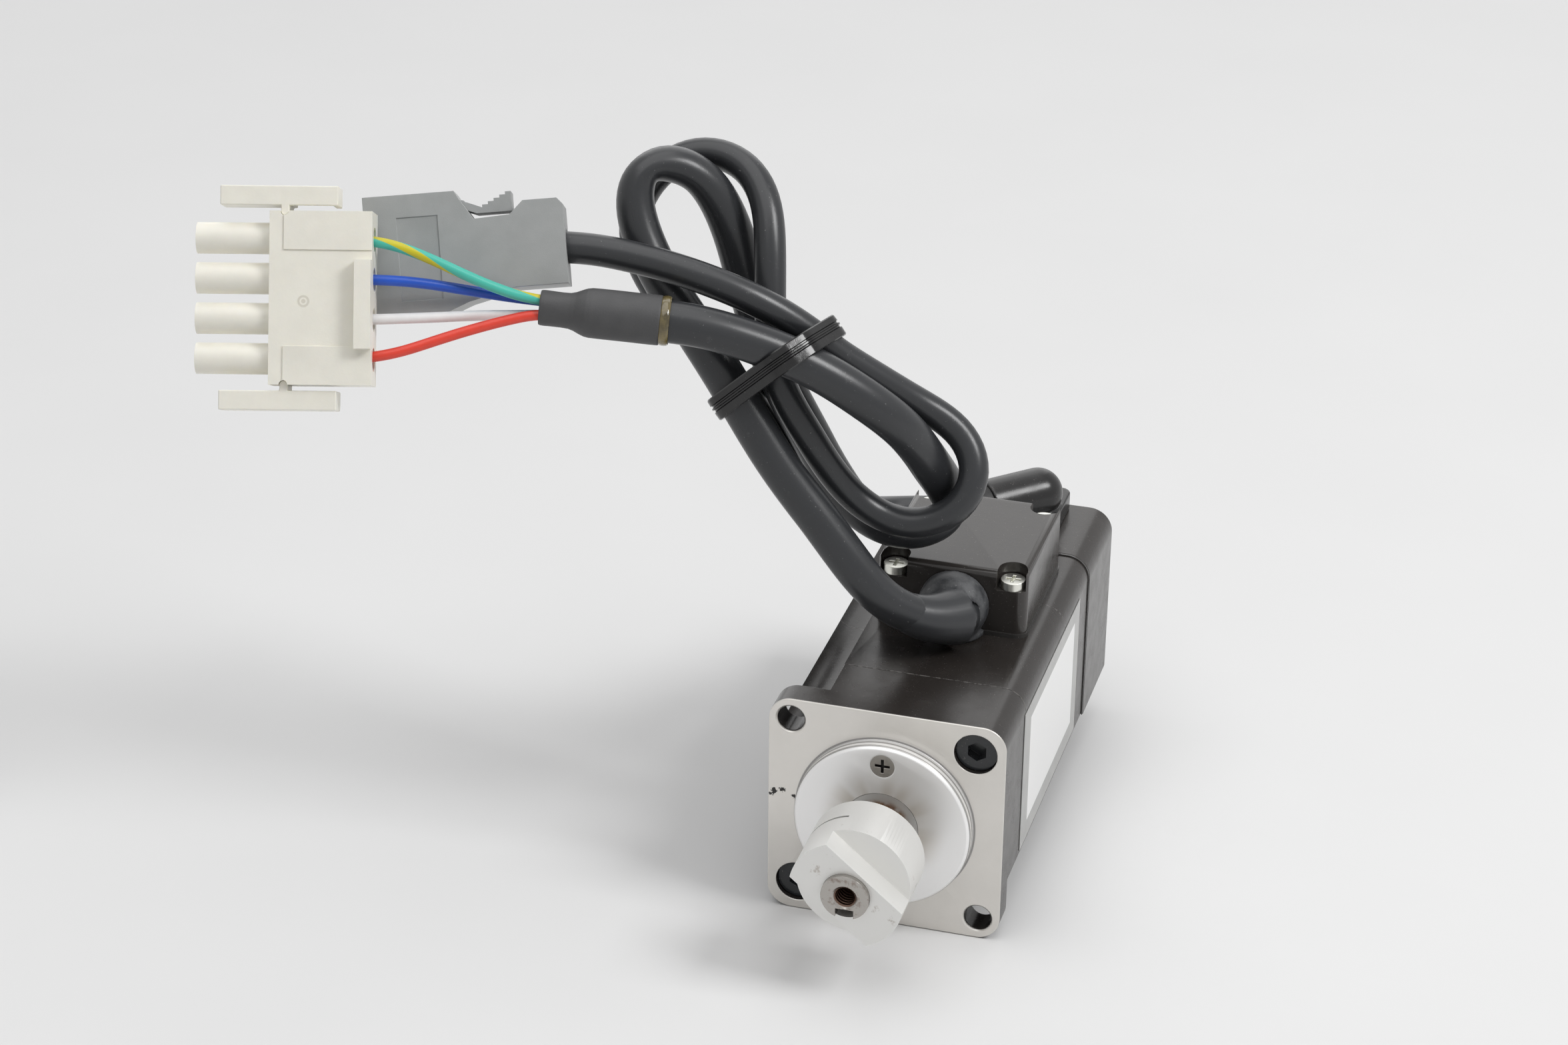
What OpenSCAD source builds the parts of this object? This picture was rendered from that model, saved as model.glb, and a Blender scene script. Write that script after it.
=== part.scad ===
// Compact AC servo motor with a 40 mm square flange, a tongued coupling hub
// and two short leads that are looped, tied together and end in plugs.
// The origin is the shaft axis at the flange's front face. The shaft points
// along -Y, +X is right and +Z is up.

/* [Flange and housing] */
// Side of the square flange and of the housing
flange_w = 40; // [39.5:0.25:42]
// Radius of the housing's long corners
corner_r = 4; // [3:0.25:5]
// Thickness of the flange at its ears
flange_t = 5; // [4.5:0.25:6]
// Diameter of the centring pilot
pilot_d = 30; // [29:0.5:31]
// Height of the pilot above the flange
pilot_h = 2.5; // [2:0.25:3]
// Pitch circle of the two mounting holes
bolt_pcd = 46; // [45:0.25:46.5]
// Diameter of a mounting hole
bolt_hole_d = 4.5; // [4.2:0.1:4.8]
// Radius of the clearance hollow behind each mounting hole
notch_r = 6.4; // [5.8:0.1:6.6]
// Front bracket, from the flange's face to the stator
bracket_len = 14; // [13.5:0.25:16]
// Stator length between the two brackets
stator_len = 30.3; // [28:0.5:36]
// Rear bracket length
rear_len = 18.7; // [18.25:0.25:21]
// Thickness of the gasket under the rear cover
gasket_t = 0.5; // [0.4:0.1:0.8]
// Length of the rear cover
cover_len = 19; // [17:0.5:24]
// Wall of the rear cover
cover_wall = 1.8; // [1.4:0.1:2.2]

/* [Shaft and bearings] */
// Diameter of the output shaft
shaft_d = 8; // [7.6:0.1:8.2]
// Shaft length in front of the flange's face
shaft_len = 25; // [25:0.5:30]
// Width of the keyway at the shaft's end
keyway_w = 3; // [2:0.25:3]
// Depth of the keyway
keyway_h = 1.8; // [1.2:0.1:2]
// Length of the keyway
keyway_len = 12; // [8:1:13]
// Diameter of the tapped hole in the shaft's end
shaft_tap_d = 3.3; // [2.5:0.1:3.5]
// Outer diameter of the front bearing
front_brg_od = 19; // [18.5:0.25:20]
// Width of the front bearing
front_brg_w = 6; // [5.5:0.25:6.25]
// Ball diameter in the front bearing
front_ball_d = 3; // [2.6:0.1:3.1]
// Bore of the rear bearing
rear_brg_id = 6; // [5.5:0.25:6.5]
// Outer diameter of the rear bearing
rear_brg_od = 15; // [14.5:0.25:16]
// Width of the rear bearing
rear_brg_w = 5; // [4.5:0.25:5.25]
// Ball diameter in the rear bearing
rear_ball_d = 2.4; // [2:0.1:2.6]
// Balls in each bearing
ball_count = 7; // [5:1:7]

/* [Stator and rotor] */
// Number of stator slots and coils
slots = 12; // [9:1:12]
// Number of rotor magnets
poles = 8; // [6:2:10]
// Radius of the stator bore
bore_r = 8.7; // [8.6:0.1:9]
// Outer radius of the slots
slot_r = 14.3; // [14:0.1:14.6]
// Width of a stator tooth
tooth_w = 2.2; // [1.9:0.1:2.3]
// Thickness of a coil beside its tooth
coil_t = 0.9; // [0.6:0.1:1]
// Thickness of the rotor magnets
magnet_t = 1; // [0.8:0.1:1.4]
// Air gap between magnets and stator
air_gap = 0.5; // [0.4:0.1:0.8]

/* [Coupling hub] */
// Outer diameter of the coupling hub
hub_d = 19; // [18:0.5:20]
// Length of the hub's round part
hub_len = 9.3; // [9.2:0.1:10]
// Distance of the hub's rear face from the flange's face
hub_y = 10.5; // [10:0.25:11]
// Width of the driving tongue
tongue_w = 9.2; // [8.5:0.1:10]
// Height of the driving tongue
tongue_h = 4.4; // [3.5:0.1:4.4]
// Angle of the tongue at rest
tongue_turn = -40; // [-90:5:90]
// Width of the two saw slits
slit_w = 0.5; // [0.4:0.1:0.8]

/* [Terminal cap] */
// Width of the terminal cap
cap_w = 25.9; // [25:0.1:26.5]
// Length of the terminal cap
cap_len = 27.7; // [27.2:0.5:31.2]
// Height of the cap above its gasket
cap_h = 11.3; // [11.3:0.5:14.3]
// Front face of the cap, measured from the flange's face
cap_y = 31; // [30.5:0.25:32]
// Wall of the cap
cap_wall = 1.6; // [1.2:0.1:1.8]
// Thickness of the cap's gasket
cap_gasket_t = 0.8; // [0.5:0.1:1]

/* [Leads] */
// Diameter of the power cable
power_d = 6.9; // [6.5:0.1:7]
// Diameter of the signal cable
signal_d = 5.2; // [4.8:0.1:5.2]
// Diameter of a power wire
wire_d = 1.7; // [1.4:0.1:1.8]
// Width of the cable tie
tie_w = 4.2; // [3:0.1:5]
// Thickness of the cable tie
tie_t = 1.2; // [1:0.1:1.5]

/* [Plugs] */
// Width of the power plug's body, along its contacts
plug_w = 16.2; // [15:0.5:18]
// Height of the power plug's body
plug_h = 27.4; // [27:0.2:29]
// Thickness of the power plug's body
plug_t = 7.2; // [7:0.2:8]
// Pitch of the power contacts
contact_pitch = 6.35; // [6:0.05:6.5]
// Outer diameter of a contact sleeve
silo_d = 5; // [4.8:0.1:5.2]
// Length of a contact sleeve
silo_len = 11.8; // [10:0.2:13]
// Thickness of the signal plug
signal_t = 9.5; // [9.5:0.25:11]

/* [Hidden] */
$fn = 48;
over = 0.5;
seat_gap = 0.02;
run_gap = 0.05;
close_gap = 0.1;

// Stations along the motor
stator_y = bracket_len;
rear_y = stator_y + stator_len;
gasket_y = rear_y + rear_len;
cover_y = gasket_y + gasket_t;
motor_end = cover_y + cover_len;
top_z = flange_w / 2;
shaft_r = shaft_d / 2;
pilot_r = pilot_d / 2;
hole_xz = bolt_pcd / 2 / sqrt(2);
hole_chamfer = 0.35;
pilot_edge = 0.5;

// Shaft seal and front bearing
seal_w = 3;
seal_r = 6.3;
shoulder_w = 1;
shaft_tap_len = 8;
shaft_tap_chamfer = 0.5;
shoulder_hole_r = shaft_r + 1.4;
front_brg_y = seal_w + shoulder_w - pilot_h;
front_brg_end = front_brg_y + front_brg_w;
front_brg_r = front_brg_od / 2;
retainer_t = 2;
retainer_end = front_brg_end + retainer_t;
retainer_pcr = pilot_r - 3.5;
retainer_r = retainer_pcr + 1.9;
retainer_hole_r = front_brg_r - 1.5;
cavity_r = slot_r - 0.1;
ring_wall = 1.9;
rear_ring_wall = 1.35;
groove_gap = 0.05;
cage_wall = 0.55;
cage_rim = 0.3;

// Tie screws in the two full corners
tie_inset = 5.1;
tie_xz = flange_w / 2 - tie_inset;
tie_head_r = 3.5;
tie_head_h = 4;
tie_shank_r = 2;
tie_bore_r = tie_head_r + 0.1;
tie_clear_r = tie_shank_r + 0.1;
tie_socket_af = 3;
tie_socket_h = 2;
tie_end = gasket_y - 3;

// Small screws
small_shank_r = 1;
small_head_r = 2.1;
small_head_h = 1.5;
recess_w = 0.5;
recess_span_share = 1.2;
recess_h = 0.7;

// Rear bracket and rear bearing
rear_brg_depth = 6.7;
rear_brg_y = rear_y + rear_brg_depth;
rear_brg_end = rear_brg_y + rear_brg_w;
rear_brg_r = rear_brg_od / 2;
rear_cavity_end = rear_brg_y - 1.5;
washer_t = 0.5;
washer_w = 1.8;
washer_end = rear_brg_end + washer_t + close_gap;
web_end = washer_end + 0.9;
web_hole_r = rear_brg_r - 2;
encoder_r = slot_r - 0.3;

// Shaft steps behind the bearings
collar_r = shaft_r + 1;
collar_len = 2.5;
rotor_seat_r = shaft_r + 0.6;
rear_collar_r = rear_brg_id / 2 + 0.8;
rear_collar_len = 3;
encoder_gap = 0.8;
encoder_hub_y = web_end + encoder_gap;
encoder_hub_w = 3;
encoder_hub_r = 6;
disc_y = encoder_hub_y + encoder_hub_w;
disc_t = 0.8;
disc_r = 10.5;
shaft_rear_end = disc_y + 0.2;
encoder_screw_head_r = 4.2;
encoder_screw_head_h = 1.2;
encoder_screw_len = 6;
sensor_gap = 0.8;
board_y = disc_y + disc_t + sensor_gap + 3.2;
board_t = 1.2;
board_inset = cover_wall + 1.4;
post_xz = 9;
post_r = 1.7;
sensor_w = 8;
sensor_z = 6.5;
sensor_h = 4.5;

// Rotor and windings
tooth_root_r = bore_r + 0.7;
slot_mouth = 0.8;
magnet_r = bore_r - air_gap;
core_r = magnet_r - magnet_t;
magnet_slit = 0.6;
core_margin = 1.5;
rotor_y = stator_y + core_margin;
rotor_end = rear_y - core_margin;
bobbin_t = 0.25;
bobbin_end = 0.5;
bobbin_in_r = tooth_root_r + 0.35;
bobbin_out_r = slot_r - 0.2;
coil_in_r = bobbin_in_r + 0.2;
coil_out_r = bobbin_out_r - 0.25;
winding_end = rear_y + bobbin_end + coil_t;
winding_board_y = winding_end + close_gap;
winding_board_t = 1;
winding_board_r = cavity_r - 0.3;
winding_board_in_r = tooth_root_r;
lead_r = 0.6;
lead_pitch = 4;
lead_y = winding_board_y + winding_board_t + lead_r + seat_gap;
lead_low_z = winding_board_r - 3.4;
lead_slot_w = 2 * lead_pitch + 4 * lead_r;

// Terminal cap and what is in it
cap_right = flange_w / 2 - 4.3;
cap_x = cap_right - cap_w / 2;
cap_left = cap_right - cap_w;
cap_end = cap_y + cap_len;
cap_low = top_z + cap_gasket_t;
cap_top = cap_low + cap_h;
cap_plan_r = 2;
cap_edge_r = 1.2;
gasket_lip = 0.2;
cap_screw_edge = 2.8;
cap_screw_end = 2;
cap_screw_x = [cap_left + cap_screw_edge, cap_right - cap_screw_edge];
cap_screw_y = [cap_y + cap_screw_end, cap_end - cap_screw_end];
cap_pocket_r = small_head_r + 0.35;
cap_pocket_depth = 3.4;
cap_seat = cap_top - cap_pocket_depth;
cap_column_wall = 0.7;
cap_column_r = cap_pocket_r + cap_column_wall;
cap_thread = 3;
cap_shank_r = 1.2;
block_w = 16;
block_y = 40;
block_len = lead_y - lead_r - seat_gap - block_y;
lead_rise = 4.5;
lead_top_z = top_z + lead_rise;
stud_r = 1.3;
stud_h = 1.4;
stud_room = 0.9;
block_h = cap_top - cap_wall - stud_room - stud_h - top_z;
stud_pitch = 4;
grommet_shift = 0.75;
grommet_x = cap_x + grommet_shift;
grommet_rise = 5.4;
grommet_z = top_z + grommet_rise;
grommet_r = 6;
grommet_len = 5.4;
grommet_round = 3.2;
grommet_foot_r = 5.3;
grommet_foot_h = 1;
spigot_r = 3.6;
spigot_low = grommet_rise - spigot_r;
grommet_bore_r = power_d / 2 + 0.15;
core_wire_r = 0.85;
core_spread = 1.1;

// Rear cable outlet
outlet_x = 8;
outlet_inset = 8.5;
outlet_y = motor_end - outlet_inset;
outlet_r = 4.5;
outlet_len = 11;
outlet_turn = 225;
outlet_right = 12.6;
outlet_base_w = 12;
outlet_base_len = 16;
outlet_base_h = 3.4;
outlet_base_r = 2;
cover_proud = 0.25;
outlet_low = top_z + cover_proud;
outlet_rise = 5.85;
outlet_z = outlet_low + outlet_rise;
outlet_bore_r = signal_d / 2 + 0.25;
outlet_bore_len = 5;
sleeve_len = 2.5;
sleeve_gap = 0.65;
sleeve_wall = 0.8;
cover_screw_x = flange_w / 2 - cover_wall - 2.6;
cover_boss_r = 2.4;
cover_screw_end = gasket_y - 4.5;
gasket_rim = 2.6;
cover_corner_r = 1.5;

// Type label on the right side
label_y = 13.3;
label_len = 42.7;
label_low = -10.4;
label_high = 15.8;
label_t = 0.15;

// Coupling hub
hub_r = hub_d / 2;
hub_front = -(hub_y + hub_len);
hub_slit_y = -(hub_y + 0.53 * hub_len);
hub_slit_turn = 47;
hub_bridge_share = 0.57;
axial_slit_offset = 180;
hub_slit_turn_axial = hub_slit_turn + axial_slit_offset;
axial_slit_w = 1.2;
clamp_x = shaft_r + 2.4;
clamp_y = -(hub_y + 2.3);
clamp_shank_r = 1.2;
clamp_head_r = 2.05;
clamp_head_h = 2.4;
clamp_seat = 2.5;
clamp_len = 6.5;
clamp_socket_af = 2;

// Direction in which the tied leads and their plugs face
hang_tilt = -27;
hang_turn = 16;

// Routes of the leads, in millimetres
power_route = [
    [6, 28, 25], [1.5, 20.5, 26.5], [-5.5, 16, 31.5], [-11, 15, 39], [-17, 15.5, 46.5],
    [-23, 15.5, 53.5], [-28.5, 16.5, 61.5], [-34, 18, 69], [-40, 20, 76], [-46.5, 22.5, 83],
    [-52, 25.5, 93], [-50.5, 29.5, 99.5], [-42, 33.5, 97.5], [-37, 34.5, 87.5], [-34, 33, 78],
    [-30.5, 30, 70.5], [-26, 27, 63], [-21.5, 27.5, 55], [-17.5, 29, 46], [-11, 29.5, 38],
    [-1.5, 32.5, 36.5], [2.5, 35.5, 41.5], [-1, 30, 50.5], [-3.5, 23, 60], [-9.5, 19.5, 66],
    [-16.5, 17, 71.5], [-24.5, 14.5, 75.5], [-33, 11.2, 79.2], [-39, 9.4, 80.3], [-45, 8, 80.9]
];
signal_route = [
    [1.5, 67.5, 26.1], [-2.5, 63.5, 26.1], [-7.5, 62.5, 25.8], [-12.5, 62.5, 25], [-17.5, 59.5, 25.5],
    [-19, 54, 28], [-18.5, 47, 31], [-19, 41, 35.5], [-21, 36, 41], [-24, 32, 47],
    [-28, 29, 53], [-31.5, 27, 59.5], [-35.5, 25.5, 65], [-40, 25.5, 69.5], [-45.5, 26.5, 74.5],
    [-51.5, 29, 81], [-54, 32, 87.5], [-51.5, 37, 94], [-45, 40.5, 98], [-36.5, 39.5, 97],
    [-31, 34.5, 93], [-29, 29.5, 86.5], [-28, 26, 79], [-27, 23, 72], [-24.5, 20.5, 65.5],
    [-20, 20.5, 58.5], [-16.5, 22, 51.5], [-12, 24, 45], [-4.5, 25, 41], [4.5, 26, 44],
    [7.5, 29.5, 51], [3, 33, 57], [-4.5, 31, 61.5], [-10.5, 27, 67], [-16, 24, 71.5],
    [-21.5, 21.5, 77], [-28, 19, 81.5], [-35, 17.5, 84.5], [-42.5, 17, 86.5], [-50, 16, 88],
    [-55.5, 15.5, 88.5], [-61, 14.5, 88.5]
];
// Routes of the four wires, in the power plug's own frame
green_route = [[4, 0, 9.5], [8, 0, 9.3], [12.5, 0.5, 8.4], [18, 1.2, 6.2],
    [24, 2.2, 3.4], [30, 3.5, 1.2], [34, 4, 0.5], [38, 4, 0]];
blue_route = [[4, 0, 3.2], [8, 0.3, 3.2], [13, 1.5, 3.1], [18, 3, 2.6],
    [24, 4.8, 1.7], [30, 6, 0.9], [34, 6.2, 0.5], [38, 6.2, 0]];
white_route = [[4, 0, -3.2], [8, 0.3, -3.1], [13, 1.5, -2.8], [18, 3, -2.5],
    [24, 4.8, -2], [30, 6, -1.9], [34, 6.2, -1.7], [38, 6.2, -2.1]];
red_route = [[4, 0, -9.5], [8, 0, -9.1], [12.5, 0.5, -8.2], [18, 1.2, -6.2],
    [24, 2.2, -4.2], [30, 3.5, -2.5], [34, 4, -1.7], [38, 4, -2.1]];
power_out = power_route[1] - power_route[0];
cable_steps = 2;
cable_sides = 8;
wire_steps = 2;
wire_sides = 8;

// Cable tie: centre, and the places of the strands that it clasps
tie_at = [-26, 21, 68.5];
tie_lean = -35;
tie_strands = [[-7.2, -0.4, power_d], [4.6, -7.8, power_d], [1.9, -8.9, power_d], [9.6, -2, signal_d],
    [8.1, -3.9, signal_d], [0.8, 8, power_d], [-5.8, 10.9, signal_d], [-6.2, 9, signal_d]];
tie_slack = 0.5;
tie_head = [5, 3, 5.6];
tie_head_x = -1.5;
tie_head_y = 13.5;

// Heat-shrink boot and its glue ring, from the wires' end to the cable's end
boot_at = [34, 5, -0.6];
boot_lean = 5.6;
boot_neck_r = 2.85;
boot_r = 4.05;
boot_neck_len = 4.8;
boot_flare_len = 3.2;
boot_len = 19.4;
boot_recess_r = 2.6;
boot_recess_len = 4.2;
boot_bore_len = 6;
boot_gap = 0.35;
glue_len = 1.6;
glue_wall = 0.3;

// Power plug
power_plug_at = [-91.5, -9, 85];
panel_h = 6.1;
panel_t = 0.25;
panel_left = -5.8;
lip_w = 2.6;
lip_h = 14;
lip_low = -8;
lip_t = 2.2;
silo_bore_r = 1.75;
cavity_hole_r = 1.9;
contact_r = 1.7;
contact_in_r = 1.1;
contact_end_inset = 1;
barrel_r = 1.2;
barrel_end = 4;
latch_left = -16;
latch_right = 2.6;
latch_low = 0.9;
latch_t = 3.1;
latch_depth = 5.8;
latch_web_x = -5.75;
latch_web_w = 1.3;
latch_slot_h = 0.8;
latch_hook = 1;

// Signal plug, measured from its cable end
signal_plug_at = [-58, 15.5, 88.5];
signal_lean = -5;
signal_back = -1;
signal_body_len = 32;
signal_high = 10;
signal_low = 9.4;
signal_high_share = [[0, 0.66], [-0.03, 0.77], [-0.2, 0.77], [-0.27, 0.56], [-0.45, 0.53],
    [-0.52, 0.88], [-0.54, 1], [-1, 1]];
signal_low_share = [[-1, -1], [-0.62, -1], [-0.5, -0.84], [-0.26, -0.65], [0, -0.65]];
signal_wall = 1.4;
signal_nose_len = 7;
signal_nose_h = 15;
signal_nose_t = 7;
signal_nose_mouth_h = 12;
signal_nose_mouth_t = 4;
signal_nose_mouth_len = 5;
signal_pin = [4, 0.6, 0.8];
signal_pin_pitch = 2;
signal_slot_w = 2.4;
signal_slot_h = 1.8;
signal_slot_x = -26.6;
signal_bore_r = signal_d / 2 + 0.3;
signal_bore_len = 4.5;
signal_panel = [6.6, 13.4, 0.2];
signal_panel_x = -24.5;
signal_panel_z = -0.4;
lever_t = 5;
lever_right = -9.3;
lever_left = -15;
lever_low = 6.3;
lever_high = 9.5;
lever_ribs = 5;
lever_neck_x = -17.3;
lever_neck_z = 7.9;
lever_neck_r = 0.7;
lever_well_low = 4.6;
lever_well_right = -8.3;

// Cable geometry: a smooth curve through hand-placed points, swept by a polygon
function unit(v) = v / norm(v);
function with_ends(p) = concat([2 * p[0] - p[1]], p, [2 * p[len(p) - 1] - p[len(p) - 2]]);
function curve_at(e, i, t) =
    (pow(1 - t, 3) * e[i] + (3 * t * t * t - 6 * t * t + 4) * e[i + 1]
    + (-3 * t * t * t + 3 * t * t + 3 * t + 1) * e[i + 2] + t * t * t * e[i + 3]) / 6;
function curve(p, k) =
    let (e = with_ends(p), m = len(p) - 1)
    [for (j = [0 : m * k]) let (i = min(floor(j / k), m - 1)) curve_at(e, i, j / k - i)];
function tangents(c) =
    let (n = len(c) - 1) [for (i = [0 : n]) unit(c[min(i + 1, n)] - c[max(i - 1, 0)])];
function side_vectors(t) =
    let (n = len(t), first = unit(cross(t[0], [0, 0, 1])))
    [for (i = 0, s = first; i < n;
        i = i + 1, s = i < n ? unit(s - (s * t[i]) * t[i]) : s) s];
function ring_points(c, r, sides) =
    let (t = tangents(c), s = side_vectors(t))
    [for (i = [0 : len(c) - 1]) for (j = [0 : sides - 1])
        let (a = 360 * j / sides)
        c[i] + r * (cos(a) * s[i] + sin(a) * cross(t[i], s[i]))];
function tube_faces(rings, sides) = concat(
    [for (i = [0 : rings - 2]) for (j = [0 : sides - 1])
        let (a = i * sides + j, b = i * sides + (j + 1) % sides) [a, a + sides, b]],
    [for (i = [0 : rings - 2]) for (j = [0 : sides - 1])
        let (a = i * sides + j, b = i * sides + (j + 1) % sides) [b, a + sides, b + sides]],
    [for (j = [1 : sides - 2]) [0, j, j + 1]],
    [for (j = [1 : sides - 2]) let (z = (rings - 1) * sides) [z, z + j + 1, z + j]]);
module tube(route, d, steps, sides) {
    c = curve(route, steps);
    polyhedron(ring_points(c, d / 2, sides), tube_faces(len(c), sides));
}

// Least gaps of the looped cables to themselves and to each other
function least_gap(a, b, d, apart) =
    min([for (i = [0 : len(a) - 1]) for (j = [0 : len(b) - 1])
        if (abs(i - j) > apart) norm(a[i] - b[j]) - d]);
gap_steps = 4;
power_line = curve(power_route, gap_steps);
signal_line = curve(signal_route, gap_steps);
echo(least_gap_power_cable = least_gap(power_line, power_line, power_d, 5 * gap_steps));
echo(least_gap_signal_cable = least_gap(signal_line, signal_line, signal_d, 5 * gap_steps));
echo(least_gap_between_cables =
    least_gap(power_line, signal_line, (power_d + signal_d) / 2, -1));

// Solids along the motor's axis, and 2-D outlines set upright in the XZ plane
module rod(y0, y1, r) translate([0, y0, 0]) rotate([-90, 0, 0]) cylinder(h = y1 - y0, r = r);
module cone(y0, y1, r0, r1)
    translate([0, y0, 0]) rotate([-90, 0, 0]) cylinder(h = y1 - y0, r1 = r0, r2 = r1);
module ring(y0, y1, outer, inner) difference() {
    rod(y0, y1, outer);
    rod(y0 - over, y1 + over, inner);
}
module along(y0, y1) translate([0, y1, 0]) rotate([90, 0, 0]) linear_extrude(y1 - y0) children();
module at_xz(x, z) translate([x, 0, z]) children();
module upright(x, y, z0, z1, r) translate([x, y, z0]) cylinder(h = z1 - z0, r = r);
module slab(low, high) translate(low) cube(high - low);

module rounded(w, h, r) {
    square([w - 2 * r, h], center = true);
    square([w, h - 2 * r], center = true);
    for (x = [-1, 1], z = [-1, 1]) translate([x * (w / 2 - r), z * (h / 2 - r)]) circle(r);
}
// Housing section: two corners full, two hollowed round the mounting holes
module section_with(inset, r) difference() {
    rounded(flange_w - 2 * inset, flange_w - 2 * inset, r);
    for (s = [-1, 1]) translate([-s * hole_xz, s * hole_xz]) circle(notch_r + inset);
}
module section(inset) section_with(inset, corner_r - inset);
module at_mounting_holes() for (s = [-1, 1]) at_xz(-s * hole_xz, s * hole_xz) children();
module at_tie_screws() for (s = [-1, 1]) at_xz(s * tie_xz, s * tie_xz) children();
module at_cap_screws() for (x = cap_screw_x, y = cap_screw_y) translate([x, y, 0]) children();
module cross_recess(y0, y1, r) for (a = [0, 90]) rotate([0, a, 0])
    slab([-r * recess_span_share / 2, y0, -recess_w / 2], [r * recess_span_share / 2, y1, recess_w / 2]);

module front_bracket() color("#2c2927") difference() {
    union() {
        along(0, flange_t) rounded(flange_w, flange_w, corner_r);
        along(flange_t, bracket_len) section(0);
        rod(pilot_edge - pilot_h, over, pilot_r);
        cone(-pilot_h, pilot_edge - pilot_h, pilot_r - pilot_edge, pilot_r);
    }
    at_mounting_holes() {
        rod(-over, flange_t + over, bolt_hole_d / 2);
        cone(0, hole_chamfer, bolt_hole_d / 2 + hole_chamfer, bolt_hole_d / 2);
    }
    at_tie_screws() {
        rod(-over, flange_t, tie_bore_r);
        rod(flange_t - over, bracket_len + over, tie_clear_r);
    }
    rod(-pilot_h - over, seal_w - pilot_h, seal_r);
    rod(-pilot_h, front_brg_y + over, shoulder_hole_r);
    rod(front_brg_y, front_brg_end + over, front_brg_r + seat_gap);
    rod(front_brg_end, retainer_end, retainer_r + close_gap);
    rod(retainer_end, bracket_len + over, cavity_r);
    for (s = [-1, 1]) at_xz(0, s * retainer_pcr) {
        rod(-pilot_h - over, retainer_end, small_shank_r + run_gap);
        cone(-pilot_h, small_head_r - pilot_h, small_head_r, 0);
    }
}
module shaft_seal() color("silver")
    ring(-pilot_h, seal_w - pilot_h, seal_r - seat_gap, shaft_r + run_gap);

// Ball bearing parts, with the race grooves cut as true tori
module race(y, w, outer, inner, ball_r, pitch_r) translate([0, y, 0]) rotate([-90, 0, 0])
    rotate_extrude() difference() {
        translate([inner, 0]) square([outer - inner, w]);
        translate([pitch_r, w / 2]) circle(ball_r + groove_gap);
    }
module ball_set(y, w, ball_r, pitch_r) {
    for (i = [0 : ball_count - 1]) rotate([0, i * 360 / ball_count, 0])
        translate([pitch_r, y + w / 2, 0]) sphere(ball_r);
    difference() {
        ring(y + w / 2 - ball_r - cage_rim, y + w / 2 + ball_r + cage_rim,
            pitch_r + cage_wall, pitch_r - cage_wall);
        for (i = [0 : ball_count - 1]) rotate([0, i * 360 / ball_count, 0])
            translate([pitch_r - 2 * cage_wall, y + w / 2, 0]) rotate([0, 90, 0])
                cylinder(h = 4 * cage_wall, r = ball_r + run_gap);
    }
}
front_pitch_r = (shaft_r + front_brg_r) / 2;
rear_pitch_r = (rear_brg_id / 2 + rear_brg_r) / 2;
module front_bearing_outer() color("silver") race(front_brg_y, front_brg_w, front_brg_r,
    front_brg_r - ring_wall, front_ball_d / 2, front_pitch_r);
module front_bearing_inner() color("silver") race(front_brg_y, front_brg_w,
    shaft_r + seat_gap + ring_wall, shaft_r + seat_gap, front_ball_d / 2, front_pitch_r);
module front_bearing_balls() color("gainsboro")
    ball_set(front_brg_y, front_brg_w, front_ball_d / 2, front_pitch_r);
module rear_bearing_outer() color("silver") race(rear_brg_y, rear_brg_w, rear_brg_r,
    rear_brg_r - rear_ring_wall, rear_ball_d / 2, rear_pitch_r);
module rear_bearing_inner() color("silver") race(rear_brg_y, rear_brg_w,
    rear_brg_id / 2 + seat_gap + rear_ring_wall, rear_brg_id / 2 + seat_gap,
    rear_ball_d / 2, rear_pitch_r);
module rear_bearing_balls() color("gainsboro")
    ball_set(rear_brg_y, rear_brg_w, rear_ball_d / 2, rear_pitch_r);

module bearing_retainer() color("slategray") difference() {
    ring(front_brg_end, retainer_end, retainer_r, retainer_hole_r);
    for (s = [-1, 1]) at_xz(0, s * retainer_pcr)
        rod(front_brg_end - over, retainer_end + over, small_shank_r + seat_gap);
}
module retainer_screws() color("silver") for (s = [-1, 1]) at_xz(0, s * retainer_pcr)
    difference() {
        union() {
            cone(-pilot_h, small_head_r - small_shank_r - pilot_h,
                small_head_r - seat_gap, small_shank_r - seat_gap);
            rod(-pilot_h, retainer_end, small_shank_r);
        }
        cross_recess(-pilot_h - over, recess_h - pilot_h, small_head_r);
    }

module stator_core() color("#2a2725") difference() {
    along(stator_y, rear_y) difference() {
        section(0);
        circle(bore_r);
        difference() {
            circle(slot_r);
            circle(tooth_root_r);
            for (i = [0 : slots - 1]) rotate(i * 360 / slots)
                translate([bore_r, -tooth_w / 2]) square([slot_r - bore_r + over, tooth_w]);
        }
        for (i = [0 : slots - 1]) rotate((i + 0.5) * 360 / slots)
            translate([bore_r - over, -slot_mouth / 2])
                square([tooth_root_r - bore_r + 2 * over, slot_mouth]);
        for (s = [-1, 1]) translate([s * tie_xz, s * tie_xz]) circle(tie_clear_r);
    }
    for (x = cap_screw_x)
        upright(x, cap_screw_y[0], top_z - cap_thread, top_z + over, cap_shank_r + seat_gap);
}
module tooth_ring(y0, y1, outer_w, r0, r1, inner_y0, inner_y1, inner_w)
    for (i = [0 : slots - 1]) rotate([0, i * 360 / slots, 0]) difference() {
        slab([r0, y0, -outer_w / 2], [r1, y1, outer_w / 2]);
        slab([r0 - over, inner_y0, -inner_w / 2], [r1 + over, inner_y1, inner_w / 2]);
    }
bobbin_w = tooth_w + 2 * bobbin_t;
coil_w = bobbin_w + 2 * coil_t;
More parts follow.
